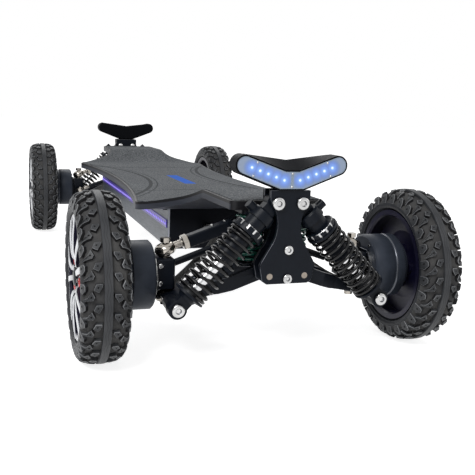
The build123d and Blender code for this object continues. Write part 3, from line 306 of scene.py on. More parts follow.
def lens_finish():
    """Frosted lens lit from behind: white at each diode, blue round it and greyer at its edges."""
    made, tree, shader, places = nodes_of("lamp_lens_blue")
    x, _, z = split_places(tree, places)
    across = value_node(tree, "ABSOLUTE", x)
    nearest = None
    for place in led_places():
        away = distance_to(tree, across, z, place)
        nearest = value_node(tree, "MINIMUM", nearest, away) if nearest else away
    reach = 12.0 * MM
    tones = ramp(tree, value_node(tree, "DIVIDE", nearest, reach), [
        (0.1, (0.50, 0.75, 1.0)), (0.22, (0.13, 0.31, 0.84)), (0.5, (0.07, 0.17, 0.62)),
        (0.75, (0.09, 0.16, 0.38)), (1.0, (0.17, 0.21, 0.29)),
    ])
    tree.links.new(tones, shader.inputs["Emission Color"])
    shader.inputs["Base Color"].default_value = (0.12, 0.15, 0.2, 1.0)
    shader.inputs["Emission Strength"].default_value = 0.85
    shader.inputs["Roughness"].default_value = 0.35
    return made


def rubber_finish(name, dark, light, roughness):
    """Tyre rubber, cloudy with dust."""
    made, tree, shader, places = nodes_of(name)
    patches = noise(tree, places, 26.0, 4.0)
    fine = noise(tree, places, 900.0, 2.0)
    tones = ramp(tree, patches, [(0.35, dark), (0.65, light)])
    tree.links.new(tones, shader.inputs["Base Color"])
    gloss = spread(tree, fine, roughness - 0.08, roughness + 0.08)
    tree.links.new(gloss, shader.inputs["Roughness"])
    shader.inputs["Specular IOR Level"].default_value = 0.25
    bump(tree, shader, fine, 0.25, 0.0002)
    return made


def rib_finish():
    """The rib round the middle of the tread, with two thin zigzag cuts drawn as near-black lines of painted shade."""
    made, tree, shader, places = nodes_of("tyre_rib")
    patches = noise(tree, places, 26.0, 4.0)
    tones = ramp(tree, patches, [(0.35, (0.028, 0.030, 0.034)), (0.65, (0.052, 0.054, 0.058))])
    x, y, z = split_places(tree, places)
    turns = value_node(tree, "MULTIPLY", value_node(tree, "ARCTAN2", z, y), LUG_REPEATS / math.pi)
    zigzag = value_node(tree, "SUBTRACT", value_node(tree, "PINGPONG", turns, 1.0), 0.5)
    away = value_node(tree, "ABSOLUTE", value_node(tree, "SUBTRACT", x, value_node(tree, "MULTIPLY", zigzag, 2.4 * MM)))
    on_cut = value_node(tree, "ABSOLUTE", value_node(tree, "SUBTRACT", away, 1.6 * MM))
    # The cuts are not modelled: their lines are painted near-black as shade.
    cut_shade = value_node(tree, "LESS_THAN", on_cut, 0.28 * MM)
    cut_shade_tones = blend_colours(tree, value_node(tree, "MULTIPLY", cut_shade, 0.75), tones, (0.008, 0.008, 0.009))
    tree.links.new(cut_shade_tones, shader.inputs["Base Color"])
    shader.inputs["Roughness"].default_value = 0.5
    shader.inputs["Specular IOR Level"].default_value = 0.25
    bump(tree, shader, noise(tree, places, 900.0, 2.0), 0.25, 0.0002)
    return made


def braid_finish():
    """Black braided sleeve: crossed waves along the cable."""
    made, tree, shader, places = nodes_of("braided_sleeve")
    bands = []
    for turn in (0.8, -0.8):
        mapping = tree.nodes.new("ShaderNodeMapping")
        mapping.inputs["Rotation"].default_value = (0.3, turn, turn)
        wave = tree.nodes.new("ShaderNodeTexWave")
        wave.inputs["Scale"].default_value = 160.0
        wave.inputs["Distortion"].default_value = 0.6
        tree.links.new(places, mapping.inputs["Vector"])
        tree.links.new(mapping.outputs["Vector"], wave.inputs["Vector"])
        bands.append(wave.outputs["Fac"])
    woven = tree.nodes.new("ShaderNodeMath")
    woven.operation = "MAXIMUM"
    tree.links.new(bands[0], woven.inputs[0])
    tree.links.new(bands[1], woven.inputs[1])
    tones = ramp(tree, woven.outputs["Value"], [(0.3, (0.008, 0.008, 0.009)), (0.9, (0.05, 0.05, 0.048))])
    tree.links.new(tones, shader.inputs["Base Color"])
    shader.inputs["Roughness"].default_value = 0.55
    bump(tree, shader, woven.outputs["Value"], 0.5, 0.0006)
    return made


LONG_GRAIN = (1.0, 0.05, 1.0)
MATERIALS = {
    "black": finish("black_anodised", (0.005, 0.007, 0.0115), 0.36, specular=0.12, relief=0.04),
    "drum": finish("black_drum", (0.036, 0.043, 0.058), 0.42, specular=0.12, relief=0.03),
    "matte": finish("matte_black", (0.004, 0.005, 0.008), 0.6, specular=0.1, relief=0.2),
    "gloss": finish("black_spring_steel", (0.003, 0.003, 0.004), 0.09, specular=0.28, relief=0.02),
    # Bright metal on bevelled edges: partly worn bare metal, partly a painted highlight.
    "edge": finish("bright_edge_wear_and_highlight", (0.11, 0.115, 0.13), 0.3, metallic=1.0),
    "nickel": finish("nickel", (0.37, 0.345, 0.31), 0.17, metallic=1.0, rough_vary=0.04, relief=0.02),
    "steel": finish("bright_steel", (0.47, 0.47, 0.47), 0.22, metallic=1.0, relief=0.03),
    "chrome": finish("chrome", (0.56, 0.56, 0.57), 0.08, metallic=1.0, rough_vary=0.03, relief=0.01),
    "dowel": finish("dowel_end", (0.24, 0.21, 0.18), 0.35, metallic=1.0),
    "silver": finish("machined_silver", (0.46, 0.47, 0.49), 0.28, metallic=0.9, relief=0.05),
    "red": finish("red_anodised", (0.5, 0.012, 0.018), 0.3, metallic=0.35),
    # Near-black wheel dish; its violet tint is a painted reflection of the violet strip lights.
    "dish": finish("wheel_dish", (0.005, 0.0045, 0.018), 0.35, metallic=0.2, specular=0.3, relief=0.03),
    "green": finish("green_spring", (0.0, 0.11, 0.075), 0.3, specular=0.5, coat=0.3, relief=0.03),
    "deck": deck_finish(),
    "case": finish("grey_metal_case", (0.058, 0.070, 0.088), 0.42, metallic=0.3, relief=0.06,
                   stretch=LONG_GRAIN),
    # Paler metal on the case's top and corner chamfers: a painted highlight.
    "case_edge_painted_highlight": finish("case_edge_painted_highlight", (0.24, 0.25, 0.29), 0.4, metallic=0.4),
    "wrap": finish("battery_wrap", (0.01, 0.03, 0.10), 0.35),
    "housing": finish("lamp_housing_black", (0.004, 0.0045, 0.006), 0.5, specular=0.04, relief=0.15),
    "border": finish("lens_border", (0.24, 0.30, 0.38), 0.3, metallic=0.2),
    "lens": lens_finish(),
    "led": glow("lamp_diode", (0.72, 0.90, 1.0), 1.0),
    "violet": glow("violet_diode", (0.32, 0.26, 0.95), 0.9, base=(0.2, 0.1, 0.5)),
    "violet_dark": glow("violet_strip", (0.035, 0.02, 0.22), 0.6, base=(0.05, 0.03, 0.2)),
    "grip": grip_finish(),
    "rubber": rubber_finish("tyre_rubber", (0.024, 0.026, 0.029), (0.044, 0.046, 0.050), 0.45),
    # Pale rubber on the blocks' rims: partly dust on worn edges, partly a painted highlight.
    "tyre_rim": rubber_finish("tyre_edge_dust_and_highlight", (0.13, 0.135, 0.145), (0.23, 0.235, 0.245), 0.45),
    # Near-black rubber on the blocks' walls and in their dimples: painted shade.
    "tyre_wall": rubber_finish("tyre_block_wall_painted_shade", (0.004, 0.004, 0.005), (0.009, 0.009, 0.010), 0.7),
    "groove": rubber_finish("tyre_groove", (0.036, 0.036, 0.038), (0.070, 0.069, 0.068), 0.8),
    "sidewall": rubber_finish("tyre_sidewall", (0.008, 0.009, 0.012), (0.015, 0.017, 0.021), 0.5),
    "rib": rib_finish(),
    "braid": braid_finish(),
}


# Shapes

class Shape:
    """Points and faces gathered in millimetres, each face with the name of its material."""

    def __init__(self):
        self.points = []
        self.faces = []
        self.kinds = []

    def add(self, points, faces, kind):
        start = len(self.points)
        self.points += [Vector(point) for point in points]
        self.faces += [[start + index for index in face] for face in faces]
        self.kinds += [kind] * len(faces)

    def rings(self, rings, kind, closed_ring=True, caps=(False, False)):
        """Joins rings of the same number of points, in order."""
        count = len(rings[0])
        points = [point for ring in rings for point in ring]
        faces = []
        last = count if closed_ring else count - 1
        for ring in range(len(rings) - 1):
            for step in range(last):
                a, b = ring * count + step, ring * count + (step + 1) % count
                faces.append([a, b, b + count, a + count])
        if caps[0]:
            faces.append(list(range(count))[::-1])
        if caps[1]:
            faces.append([len(points) - count + step for step in range(count)])
        self.add(points, faces, kind)

    def lathe(self, profile, centre, kind, axis="x", segments=64, closed=False):
        """Turns (along, radius) points about an axis through a centre."""
        outline = profile + [profile[0]] if closed else profile
        rings = []
        for along, radius in outline:
            ring = []
            for segment in range(segments):
                angle = 2 * math.pi * segment / segments
                first, second = radius * math.cos(angle), radius * math.sin(angle)
                offset = {"x": (along, first, second), "y": (second, along, first),
                          "z": (first, second, along)}[axis]
                ring.append(Vector(centre) + Vector(offset))
            rings.append(ring)
        self.rings(rings, kind)

    def prism(self, outline, near, far, kind):
        """A flat outline of (x, z) points between two distances forward."""
        self.rings([[(x, -near, z) for x, z in outline], [(x, -far, z) for x, z in outline]], kind,
                   caps=(True, True))

    def tube(self, path, radius, kind, sides=12, ends=True):
        """A round tube along a path, with its section turned along without twist."""
        rings = []
        side = None
        for index, point in enumerate(path):
            before, after = path[max(index - 1, 0)], path[min(index + 1, len(path) - 1)]
            forward = (after - before).normalized()
            if side is None:
                side = forward.orthogonal().normalized()
            side = (side - forward * side.dot(forward)).normalized()
            up = forward.cross(side)
            rings.append([point + (side * math.cos(turn) + up * math.sin(turn)) * radius
                          for turn in (2 * math.pi * step / sides for step in range(sides))])
        self.rings(rings, kind, caps=(ends, ends))

    def build(self, name, signs=(1, 1), sharp=35.0, smooth=True):
        """The mesh object, mirrored to its corner by the signs of x and y."""
        mesh = bpy.data.meshes.new(name)
        flip = Matrix.Diagonal((signs[0] * MM, signs[1] * MM, MM, 1.0))
        mesh.from_pydata([flip @ point for point in self.points], [], self.faces)
        names = sorted(set(self.kinds))
        for kind in names:
            mesh.materials.append(MATERIALS[kind])
        mesh.polygons.foreach_set("material_index", [names.index(kind) for kind in self.kinds])
        tidy_normals(mesh, sharp, smooth)
        made = bpy.data.objects.new(name, mesh)
        bpy.context.scene.collection.objects.link(made)
        return made


def tidy_normals(mesh, sharp, smooth=True):
    """Normals outward, rounded faces smooth and edges over the angle sharp."""
    work = bmesh.new()
    work.from_mesh(mesh)
    bmesh.ops.remove_doubles(work, verts=work.verts, dist=1e-6)
    bmesh.ops.recalc_face_normals(work, faces=work.faces)
    limit = math.radians(sharp)
    for face in work.faces:
        face.smooth = smooth
    for edge in work.edges:
        if len(edge.link_faces) == 2 and edge.calc_face_angle(0.0) > limit:
            edge.smooth = False
    work.to_mesh(mesh)
    work.free()


def circle_points(x, z, radius, count=24):
    return [(x + radius * math.cos(2 * math.pi * step / count), z + radius * math.sin(2 * math.pi * step / count))
            for step in range(count)]


def in_shock(along, across=0.0, depth=0.0):
    """A point of the front left shock: along it from the top bolt, across it and forward of it."""
    direction = (SHOCK_FOOT - SHOCK_TOP).normalized()
    side = Vector((-direction.z, 0, direction.x))
    return SHOCK_TOP + direction * along + side * across + Vector((0, -depth, 0))


# Painting the carried-over metal parts

def paint(node, choose):
    """Gives each face of a part its material by where it lies on the front left quarter."""
    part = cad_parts[node]
    mesh = part.data
    mesh.materials.clear()
    names = []
    indexes = []
    for polygon in mesh.polygons:
        x, y, z = polygon.center / MM
        normal = Vector((polygon.normal.x * math.copysign(1, x), -polygon.normal.y * math.copysign(1, y),
                         polygon.normal.z))
        kind = choose(abs(x), abs(y), z, normal)
        if kind not in names:
            names.append(kind)
            mesh.materials.append(MATERIALS[kind])
        indexes.append(names.index(kind))
    mesh.polygons.foreach_set("material_index", indexes)


def worn_and_highlit_edges(node, width=0.45, kind="edge"):
    """A narrow bevel along the sharp edges of a part, in a bright metal that is partly wear and partly a painted
    highlight.
    """
    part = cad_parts[node]
    if MATERIALS[kind].name not in [m.name for m in part.data.materials]:
        part.data.materials.append(MATERIALS[kind])
    weld = part.modifiers.new("weld", "WELD")
    weld.merge_threshold = 1e-6
    bevel = part.modifiers.new("bevel", "BEVEL")
    bevel.width = width * MM
    bevel.segments = 1
    bevel.limit_method = "ANGLE"
    bevel.angle_limit = math.radians(50)
    bevel.use_clamp_overlap = False
    bevel.material = len(part.data.materials) - 1


def near_line(x, z, at_x, at_z, radius):
    return math.hypot(x - at_x, z - at_z) < radius


def truck_kind(x, reach, z, normal):
    if reach > TOWER_FRONT + 0.05:
        return "steel"
    if near_line(x, z, PIVOT_X, LOWER_PIVOT_Z, 4.2) and (reach > TOWER_FRONT - 0.1 or reach < 491.1):
        return "dowel"
    if INNER_TOWER_FRONT < reach < TOWER_BACK and (x < 6.5 or near_line(x, z, 16.5, 218.4, 5.3)):
        return "steel"
    if near_line(x, z, PIVOT_X, UPPER_PIVOT_Z, 6.2) and reach > 510.0:
        return "steel"
    return "black"


def lower_arm_kind(x, reach, z, normal):
    if math.hypot(x - KINGPIN_X, reach + AXLE_Y) < 17.0:
        return "nickel"
    if reach > 591.6:
        return "steel"
    if reach < 549.0 and near_line(x, z, 141.0, 86.0, 9.0) and reach > 535.0:
        return "steel"
    return "black"


def upper_link_kind(x, reach, z, normal):
    return "nickel" if x > PIVOT_X + 89.0 * math.cos(LINK_DROOP) else "black"


def tie_rod_kind(x, reach, z, normal):
    return "nickel" if x > PIVOT_X + 97.0 * math.cos(LINK_DROOP) else "black"


def knuckle_kind(x, reach, z, normal):
    if reach > 525.05:
        return "steel"
    if math.dist((x, reach, z), (KINGPIN_X, 465.0, 110.0)) < 6.7:
        return "nickel"
    return "black"


def motor_kind(x, reach, z, normal):
    if x > 212.2:
        return "steel"
    if x < 157.9 and near_line(reach, z, 505.0, AXLE_Z, 42.0) and not near_line(reach, z, 480.0, 86.0, 8.0):
        return "steel"
    return "drum"


def shock_body_kind(x, reach, z, normal):
    along = (Vector((x, -reach, z)) - SHOCK_TOP).dot((SHOCK_FOOT - SHOCK_TOP).normalized())
    across = (Vector((x, -reach, z)) - in_shock(along)).length
    if 43.9 < along < 51.2 and 19.6 < across < 20.8:
        return "steel"
    return "black"


def shock_rod_kind(x, reach, z, normal):
    along = (Vector((x, -reach, z)) - SHOCK_TOP).dot((SHOCK_FOOT - SHOCK_TOP).normalized())
    across = (Vector((x, -reach, z)) - in_shock(along)).length
    if across < 7.2 and along < 160.0:
        return "chrome"
    if 146.0 < along < 157.0 and across < 12.2:
        return "rubber"
    return "black"


def rim_kind(x, reach, z, normal):
    radius = math.hypot(reach + AXLE_Y, z - AXLE_Z)
    outward = x - WHEEL_X
    if radius < 12.2 and outward > 16.9:
        return "black"
    if outward > 24.95 and radius < 22.0:
        return "steel"
    if outward > 26.5 and radius > 78.5 and normal.x > 0.3:
        return "silver"
    if outward > 12.0 and 26.0 < radius < 72.0 and normal.x > 0.3:
        return "silver"
    return "dish"


def centre_link_kind(x, reach, z, normal):
    return "steel" if near_line(x, z, PIVOT_X, 150.0, 5.6) and reach < 470.0 else "black"


def bracket_kind(x, reach, z, normal):
    return "steel" if near_line(x, z, 0.0, 182.0, 8.1) and (reach > 576.4 or reach < 481.1) else "black"


def case_kind(x, reach, z, normal):
    if x < 50.0 and reach > 352.1:
        return "steel"
    if normal.y < -0.75:
        return "matte"
    # Top faces and corner chamfers: painted highlight.
    if z > 173.9 or normal.y < -0.3:
        return "case_edge_painted_highlight"
    return "case"


def paint_frame():
    """Every carried-over part gets its finish."""
    kinds = {
        "lower_arm": lower_arm_kind, "upper_link": upper_link_kind, "tie_rod": tie_rod_kind,
        "knuckle": knuckle_kind, "hub_motor": motor_kind, "shock_body": shock_body_kind,
        "shock_rod": shock_rod_kind, "rim": rim_kind,
    }
    for corner in CORNERS:
        for part, choose in kinds.items():
            paint(f"{corner}_{part}", choose)
        paint(f"{corner}_kingpin", lambda *place: "nickel")
        paint(f"{corner}_tyre", lambda *place: "rubber")
        paint(f"{corner}_shock_spring", lambda *place: "gloss")
        worn_and_highlit_edges(f"{corner}_lower_arm")
        worn_and_highlit_edges(f"{corner}_knuckle", 0.35)
        worn_and_highlit_edges(f"{corner}_hub_motor", 0.5)
    for end in ENDS:
        paint(f"{end}_truck_frame", truck_kind)
        paint(f"{end}_centre_link", centre_link_kind)
        paint(f"{end}_lamp_housing", lambda *place: "housing")
        worn_and_highlit_edges(f"{end}_truck_frame", 0.35)
    paint("deck", lambda *place: "deck")
    paint("grip_tape", lambda *place: "grip")
    paint("battery_case", case_kind)
    paint("battery_and_controller", lambda *place: "wrap")
    paint("side_light_strips", lambda *place: "violet_dark")
    paint("deck_brackets", bracket_kind)
    paint("lean_springs", lambda *place: "green")
    paint("motor_cables", lambda *place: "braid")


# Tyres: a carcass turned about the axle, with rows of lugs standing on it

TREAD_PROFILE = [
    (0.0, 112.4), (6.0, 112.3), (13.0, 111.5), (19.0, 110.2), (24.5, 107.9), (28.5, 103.5), (30.4, 98.0),
    (30.9, 92.5), (30.4, 88.0), (28.6, 84.2), (24.4, 82.0),
]


def profile_lengths():
    lengths = [0.0]
    for (x0, r0), (x1, r1) in zip(TREAD_PROFILE, TREAD_PROFILE[1:]):
        lengths.append(lengths[-1] + math.hypot(x1 - x0, r1 - r0))
    return lengths


PROFILE_LENGTHS = profile_lengths()


def on_profile(across, sink=0.0):
    """The tread's (x, radius) this far across it from its middle, sunk below its outer face."""
    side = 1 if across >= 0 else -1
    distance = min(abs(across), PROFILE_LENGTHS[-1] - 0.001)
    index = max(i for i, length in enumerate(PROFILE_LENGTHS[:-1]) if length <= distance)
    (x0, r0), (x1, r1) = TREAD_PROFILE[index], TREAD_PROFILE[index + 1]
    share = (distance - PROFILE_LENGTHS[index]) / (PROFILE_LENGTHS[index + 1] - PROFILE_LENGTHS[index])
    length = math.hypot(x1 - x0, r1 - r0)
    x = x0 + (x1 - x0) * share - sink * (r0 - r1) / length
    radius = r0 + (r1 - r0) * share - sink * (x1 - x0) / length
    return side * max(x, 0.0), radius


def on_tyre(across, around, sink=0.0):
    """A point of the tread in the wheel's own frame, around it in millimetres at its crown."""
    x, radius = on_profile(across, sink)
    angle = around / TYRE_RADIUS
    return Vector((x, radius * math.cos(angle), radius * math.sin(angle)))


# One side of the tread, once round, as (from the middle, down at the front) in millimetres.
# Each block has its outline, then the middle and the radius of the dimple in its top.
BLOCKS = {
    "small": ([(7.2, -4.7), (14.7, -4.5), (17.6, 2.4), (11.5, 5.5), (7.2, -1.6)], (12.4, -0.8), 1.2),
    "wing": ([(19.8, 4.2), (25.4, 12.0), (33.6, 16.2), (33.0, 18.4), (27.8, 16.6), (22.0, 15.6), (18.4, 15.2),
              (16.2, 11.2)], (20.4, 10.8), 1.5),
    "shoulder": ([(31.0, -4.6), (28.6, -1.6), (28.6, 3.8), (35.5, 9.6), (43.5, 8.4), (43.5, -4.6)], (35.5, 0.6), 1.7),
}
# Width of each block's pale rim (dust and a painted highlight), spread of its foot and depth of its dimple.
PALE_RIM_WIDTH, BLOCK_FOOT, DIMPLE_DEPTH = 0.7, 0.9, 1.2


def tread_block(shape, block, side, around):
    """A block with sloped walls, a pale rim, a flat top and a dimple. Its walls but the upper one, and its dimple, are
    near-black as painted shade; its rim is pale, partly dust and partly a painted highlight.
    """
    outline, dimple, dimple_radius = block
    middle = [sum(point[axis] for point in outline) / len(outline) for axis in (0, 1)]

    def ring(centre, change, sink):
        """The outline on the tyre, its points moved to another distance from a centre."""
        placed = []
        for across, along in outline:
            out, up = across - centre[0], along - centre[1]
            share = change(math.hypot(out, up)) / math.hypot(out, up)
            placed.append(on_tyre(side * (centre[0] + out * share), around + centre[1] + up * share, sink))
        return placed

    foot = ring(middle, lambda away: away + BLOCK_FOOT, GROOVE_DEPTH)
    edge = ring(middle, lambda away: away, 0.6)
    top = ring(middle, lambda away: away - PALE_RIM_WIDTH, 0.0)
    brim = ring(dimple, lambda away: dimple_radius, 0.0)
    floor = ring(dimple, lambda away: dimple_radius * 0.7, DIMPLE_DEPTH)
    count = len(outline)
    for step in range(count):
        near, far = outline[step], outline[(step + 1) % count]
        across, along = far[0] - near[0], far[1] - near[1]
        away = ((near[0] + far[0]) / 2 - middle[0], (near[1] + far[1]) / 2 - middle[1])
        facing = math.copysign(1.0, along * away[0] - across * away[1]) * -across / math.hypot(across, along)
        # Every wall but the upper one is painted near-black as shade.
        wall = "rubber" if facing < -0.6 else "tyre_wall"
        for lower, upper, kind in ((foot, edge, wall), (edge, top, "tyre_rim"), (top, brim, "rubber"),
                                   (brim, floor, "tyre_wall")):
            corners = [lower[step], lower[(step + 1) % count], upper[(step + 1) % count], upper[step]]
            shape.add(corners, [[0, 1, 2, 3]], kind)
    # The dimple's floor is painted near-black as shade too.
    shape.add(floor, [list(range(count))], "tyre_wall")


def tyre_shape():
    shape = Shape()
    steps = 26
    parts = {"groove": [], "sidewall": []}
    for step in range(steps + 1):
        across = PROFILE_LENGTHS[-1] * step / steps
        depth = GROOVE_DEPTH if across < 36.0 else max(GROOVE_DEPTH * (1 - (across - 36.0) / 9.0), 0.0)
        ridge = 0.6 if across > 46.0 and step % 2 else 0.0
        point = on_profile(across, depth + ridge + 0.2)
        if across < 45.0:
            parts["groove"].append(point)
        if across > 43.0:
            parts["sidewall"].append(point)
    parts["sidewall"] += [(23.5, 81.0), (23.5, 76.3), (18.0, 76.3)]
    centre = [(-x, r) for x, r in reversed(parts["groove"][1:])] + parts["groove"]
    shape.lathe(centre, (0, 0, 0), "groove", segments=140)
    for side in (-1, 1):
        shape.lathe([(side * x, r) for x, r in parts["sidewall"]], (0, 0, 0), "sidewall", segments=140)
    rib = [(-5.2, 108.4), (-4.9, 111.9), (-4.3, 112.3), (0.0, 112.45), (4.3, 112.3), (4.9, 111.9), (5.2, 108.4)]
    shape.lathe(rib, (0, 0, 0), "rib", segments=168)
    pitch = 2 * math.pi * TYRE_RADIUS / LUG_REPEATS
    for repeat in range(LUG_REPEATS):
        for side in (-1, 1):
            around = (repeat + (0.5 if side > 0 else 0.0)) * pitch
            for block in BLOCKS.values():
                tread_block(shape, block, side, around)
    return shape


def make_tyres():
    """The same tyre on all four wheels."""
    shape = tyre_shape()
    for corner, signs in CORNERS.items():
        tyre = shape.build(f"{corner}_tyre_tread", signs, sharp=30.0)
        tyre.location = Vector((signs[0] * WHEEL_X, signs[1] * AXLE_Y, AXLE_Z)) * MM
        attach(tyre, f"{corner}_wheel")
        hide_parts(f"{corner}_tyre")


def make_hub_bosses():
    """Red socket bosses that stand between the spokes, over the lobes of the hub."""
    for corner, signs in CORNERS.items():
        bosses = Shape()
        boss = [(16.8, 6.4), (24.5, 6.4), (25.5, 5.4), (25.5, 3.0), (22.5, 2.8), (22.5, 0.01)]
        lobe = [(1.8, 9.3), (16.6, 9.3), (17.3, 8.6), (17.3, 0.01)]
        for number in range(HUB_LOBES):
            angle = 2 * math.pi * (number + 0.5) / HUB_LOBES
            for profile, away in ((boss, HUB_BOSS_CIRCLE), (lobe, HUB_LOBE_CIRCLE)):
                centre = (0.0, away * math.cos(angle), away * math.sin(angle))
                bosses.lathe(profile, centre, "red", segments=24)
        made = bosses.build(f"{corner}_hub_bosses", signs)
        made.location = Vector((signs[0] * WHEEL_X, signs[1] * AXLE_Y, AXLE_Z)) * MM
        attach(made, f"{corner}_wheel")


def make_spoke_faces():
    """Silver faces that stand on the spokes and reach from the hub cap to the wheel's lip."""
    for corner, signs in CORNERS.items():
        faces = Shape()
        for pair in range(HUB_LOBES):
            turn = Matrix.Rotation(2 * math.pi * pair / HUB_LOBES, 4, "X")
            for side in (-1, 1):
                stems, plates = [], []
                for away, half, outer, inner in SPOKE_STATIONS:
                    middle = side * (SPOKE_ROOT + SPOKE_SLOPE * (away - 14.0))
                    stem = [(inner, -half), (outer - 1.2, -half), (outer - 1.2, half), (inner, half)]
                    plate = [(outer - 1.3, -half), (outer, 0.8 - half), (outer, half - 0.8), (outer - 1.3, half)]
                    stems.append([turn @ Vector((x, away, middle + across)) for x, across in stem])
                    plates.append([turn @ Vector((x, away, middle + across)) for x, across in plate])
                faces.rings(stems, "dish", caps=(True, True))
                faces.rings(plates, "silver", caps=(True, True))
        made = faces.build(f"{corner}_spoke_faces", signs)
        made.location = Vector((signs[0] * WHEEL_X, signs[1] * AXLE_Y, AXLE_Z)) * MM
        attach(made, f"{corner}_wheel")


# Coil springs

def coil_height(turn, turns, closed_pitch, open_pitch):
    """Height of the wire's centre after so many turns: one close turn at each end."""
    if turn <= 1:
        return turn * closed_pitch
    if turn >= turns - 1:
        return 2 * closed_pitch + (turns - 2) * open_pitch - (turns - turn) * closed_pitch
    return closed_pitch + (turn - 1) * open_pitch


def coil_path(start, direction, first_side, mean_radius, wire_radius, length, turns):
    """Points of a coil that stands on its start and rises along its direction."""
    closed_pitch = 2 * wire_radius + 0.6
    open_pitch = (length - 2 * wire_radius - 2 * closed_pitch) / (turns - 2)
    second_side = direction.cross(first_side)
    per_turn = 28
    path = []
    for step in range(int(turns * per_turn) + 1):
        turn = step / per_turn
        angle = 2 * math.pi * turn
        height = wire_radius + coil_height(turn, turns, closed_pitch, open_pitch)
        around = first_side * math.cos(angle) + second_side * math.sin(angle)
        path.append(start + direction * height + around * mean_radius)
    return path


def make_shock_springs():
    """Black springs, each carried by its shock body."""
    for corner, signs in CORNERS.items():
        top = in_shock(SPRING_TOP)
        direction = (in_shock(SPRING_FOOT) - top).normalized()
        place = Vector((top.x * signs[0], top.y * signs[1], top.z))
        direction = Vector((direction.x * signs[0], direction.y, direction.z))
        first_side = Vector((0, signs[0] * signs[1], 0))
        shape = Shape()
        path = coil_path(place, direction, first_side, 19.9, 2.1, SPRING_FOOT - SPRING_TOP, 11.0)
        shape.tube(path, 2.1, "gloss", sides=14)
        spring = shape.build(f"{corner}_coil", sharp=60.0)
        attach(spring, f"{corner}_shock_body")
        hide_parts(f"{corner}_shock_spring")
        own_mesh(spring)


def make_lean_springs():
    """Green springs between the deck brackets and each truck."""
    first = True
    for end, (x_sign, y_sign) in ENDS.items():
        shape = Shape()
        for x in (-31.0, 31.0):
            path = coil_path(Vector((x, y_sign * -537.0, 133.5)), Vector((0, 0, 1)), Vector((1, 0, 0)),
                             17.0, 2.0, 65.5, 9.0)
            shape.tube(path, 2.0, "green", sides=12)
        springs = shape.build(f"{end}_lean_coils", sharp=60.0)
        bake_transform(springs)
        if first:
            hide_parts("lean_springs")
        first = False


# Motor cables

CABLE_ROUTE = [
    (152.0, 480.0, 86.0), (133.0, 480.0, 86.0), (115.0, 475.0, 94.0), (97.0, 466.0, 106.0),
    (79.0, 455.0, 118.0), (61.0, 442.0, 129.0), (46.0, 424.0, 138.0), (38.0, 401.0, 143.0),
    (36.0, 379.0, 144.0), (36.0, 360.0, 144.0),
]
CABLE_RADIUS = 5.5


def smooth_route(points):
    """Points along a smooth line that has the route's points as its control points."""
    curve = bpy.data.curves.new("route", "CURVE")
    curve.dimensions = "3D"
    curve.resolution_u = 10
    spline = curve.splines.new("NURBS")
    spline.points.add(len(points) - 1)
    for place, point in zip(spline.points, points):
        place.co = (*point, 1.0)
    spline.order_u = 3
    spline.use_endpoint_u = True
    line = bpy.data.objects.new("route", curve)
    sampled = bpy.data.meshes.new_from_object(line)
    path = [vertex.co.copy() for vertex in sampled.vertices]
    bpy.data.objects.remove(line)
    bpy.data.curves.remove(curve)
    bpy.data.meshes.remove(sampled)
    return path


def make_cables():
    """Each cable in sections, every one of them across one joint between the wheel and the deck."""
    path = smooth_route([(x, -reach, z) for x, reach, z in CABLE_ROUTE])
    sections = [
        ("knuckle", "kingpin", 152.0, 136.0), ("kingpin", "lower_arm", 136.0, 112.0),
        ("lower_arm", None, 112.0, 76.0), (None, "deck", 76.0, 0.0),
    ]
    first = True
    for corner, signs in CORNERS.items():
        for number, (near_body, far_body, from_x, to_x) in enumerate(sections):
            inside = [i for i, point in enumerate(path) if from_x >= point.x >= to_x]
            stretch = path[inside[0]:min(inside[-1] + 2, len(path))]
            shape = Shape()
            shape.tube(stretch, CABLE_RADIUS, "braid", sides=16, ends=False)
            cable = shape.build(f"{corner}_cable_{number + 1}", signs, sharp=60.0)
            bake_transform(cable)
            if first:
                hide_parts("motor_cables")
            first = False


# Lamp

def band_outline(inset, steps=14):
    """The lamp's V-shaped face as (x, z) points, this far inside its edge."""
    radius = LOBE_RADIUS - inset
    lean = math.atan2(LOBE_Z - LAMP_BASE_Z + LOBE_RADIUS, LOBE_X - LAMP_BASE_HALF)

    def touch(x, z, side):
        away = math.hypot(LOBE_X - x, LOBE_Z - z)
        towards = math.atan2(z - LOBE_Z, x - LOBE_X)
        return towards + side * math.acos(min(LOBE_RADIUS / away, 1.0))

    low = touch(LAMP_BASE_HALF, LAMP_BASE_Z, 1)
    high = touch(LAMP_NOTCH_HALF, LAMP_NOTCH_Z, -1) % (2 * math.pi)
    low_slope = low + math.pi / 2
    high_slope = high + math.pi / 2
    right = [(LAMP_BASE_HALF - inset * math.tan(low_slope / 2), LAMP_BASE_Z + inset)]
    for step in range(steps + 1):
        angle = low + (high - low) * step / steps
        right.append((LOBE_X + radius * math.cos(angle), LOBE_Z + radius * math.sin(angle)))
    tilt = math.pi - high_slope
    right.append((LAMP_NOTCH_HALF - inset * math.tan(tilt / 2) * 0, LAMP_NOTCH_Z - inset))
    return right + [(-x, z) for x, z in reversed(right)]


def screw_head(shape, x, z, radius, near, kind="steel"):
    """A small round head with a socket, facing forward."""
    rise = radius * 0.7
    profile = [(-near, radius), (-near - rise * 0.6, radius), (-near - rise, radius * 0.7),
               (-near - rise, radius * 0.45), (-near - rise * 0.3, radius * 0.4), (-near - rise * 0.3, 0.01)]
    shape.lathe(profile, (x, 0, z), kind, axis="y", segments=20)


def notch_line(x):
    """Height of the V's upper edge at the lamp's face."""
    rise = (LOBE_Z + LOBE_RADIUS - 0.8 - LAMP_NOTCH_Z) / (LOBE_X - 4.3 - LAMP_NOTCH_HALF)
    return LAMP_NOTCH_Z + rise * max(abs(x) - LAMP_NOTCH_HALF, 0.0)


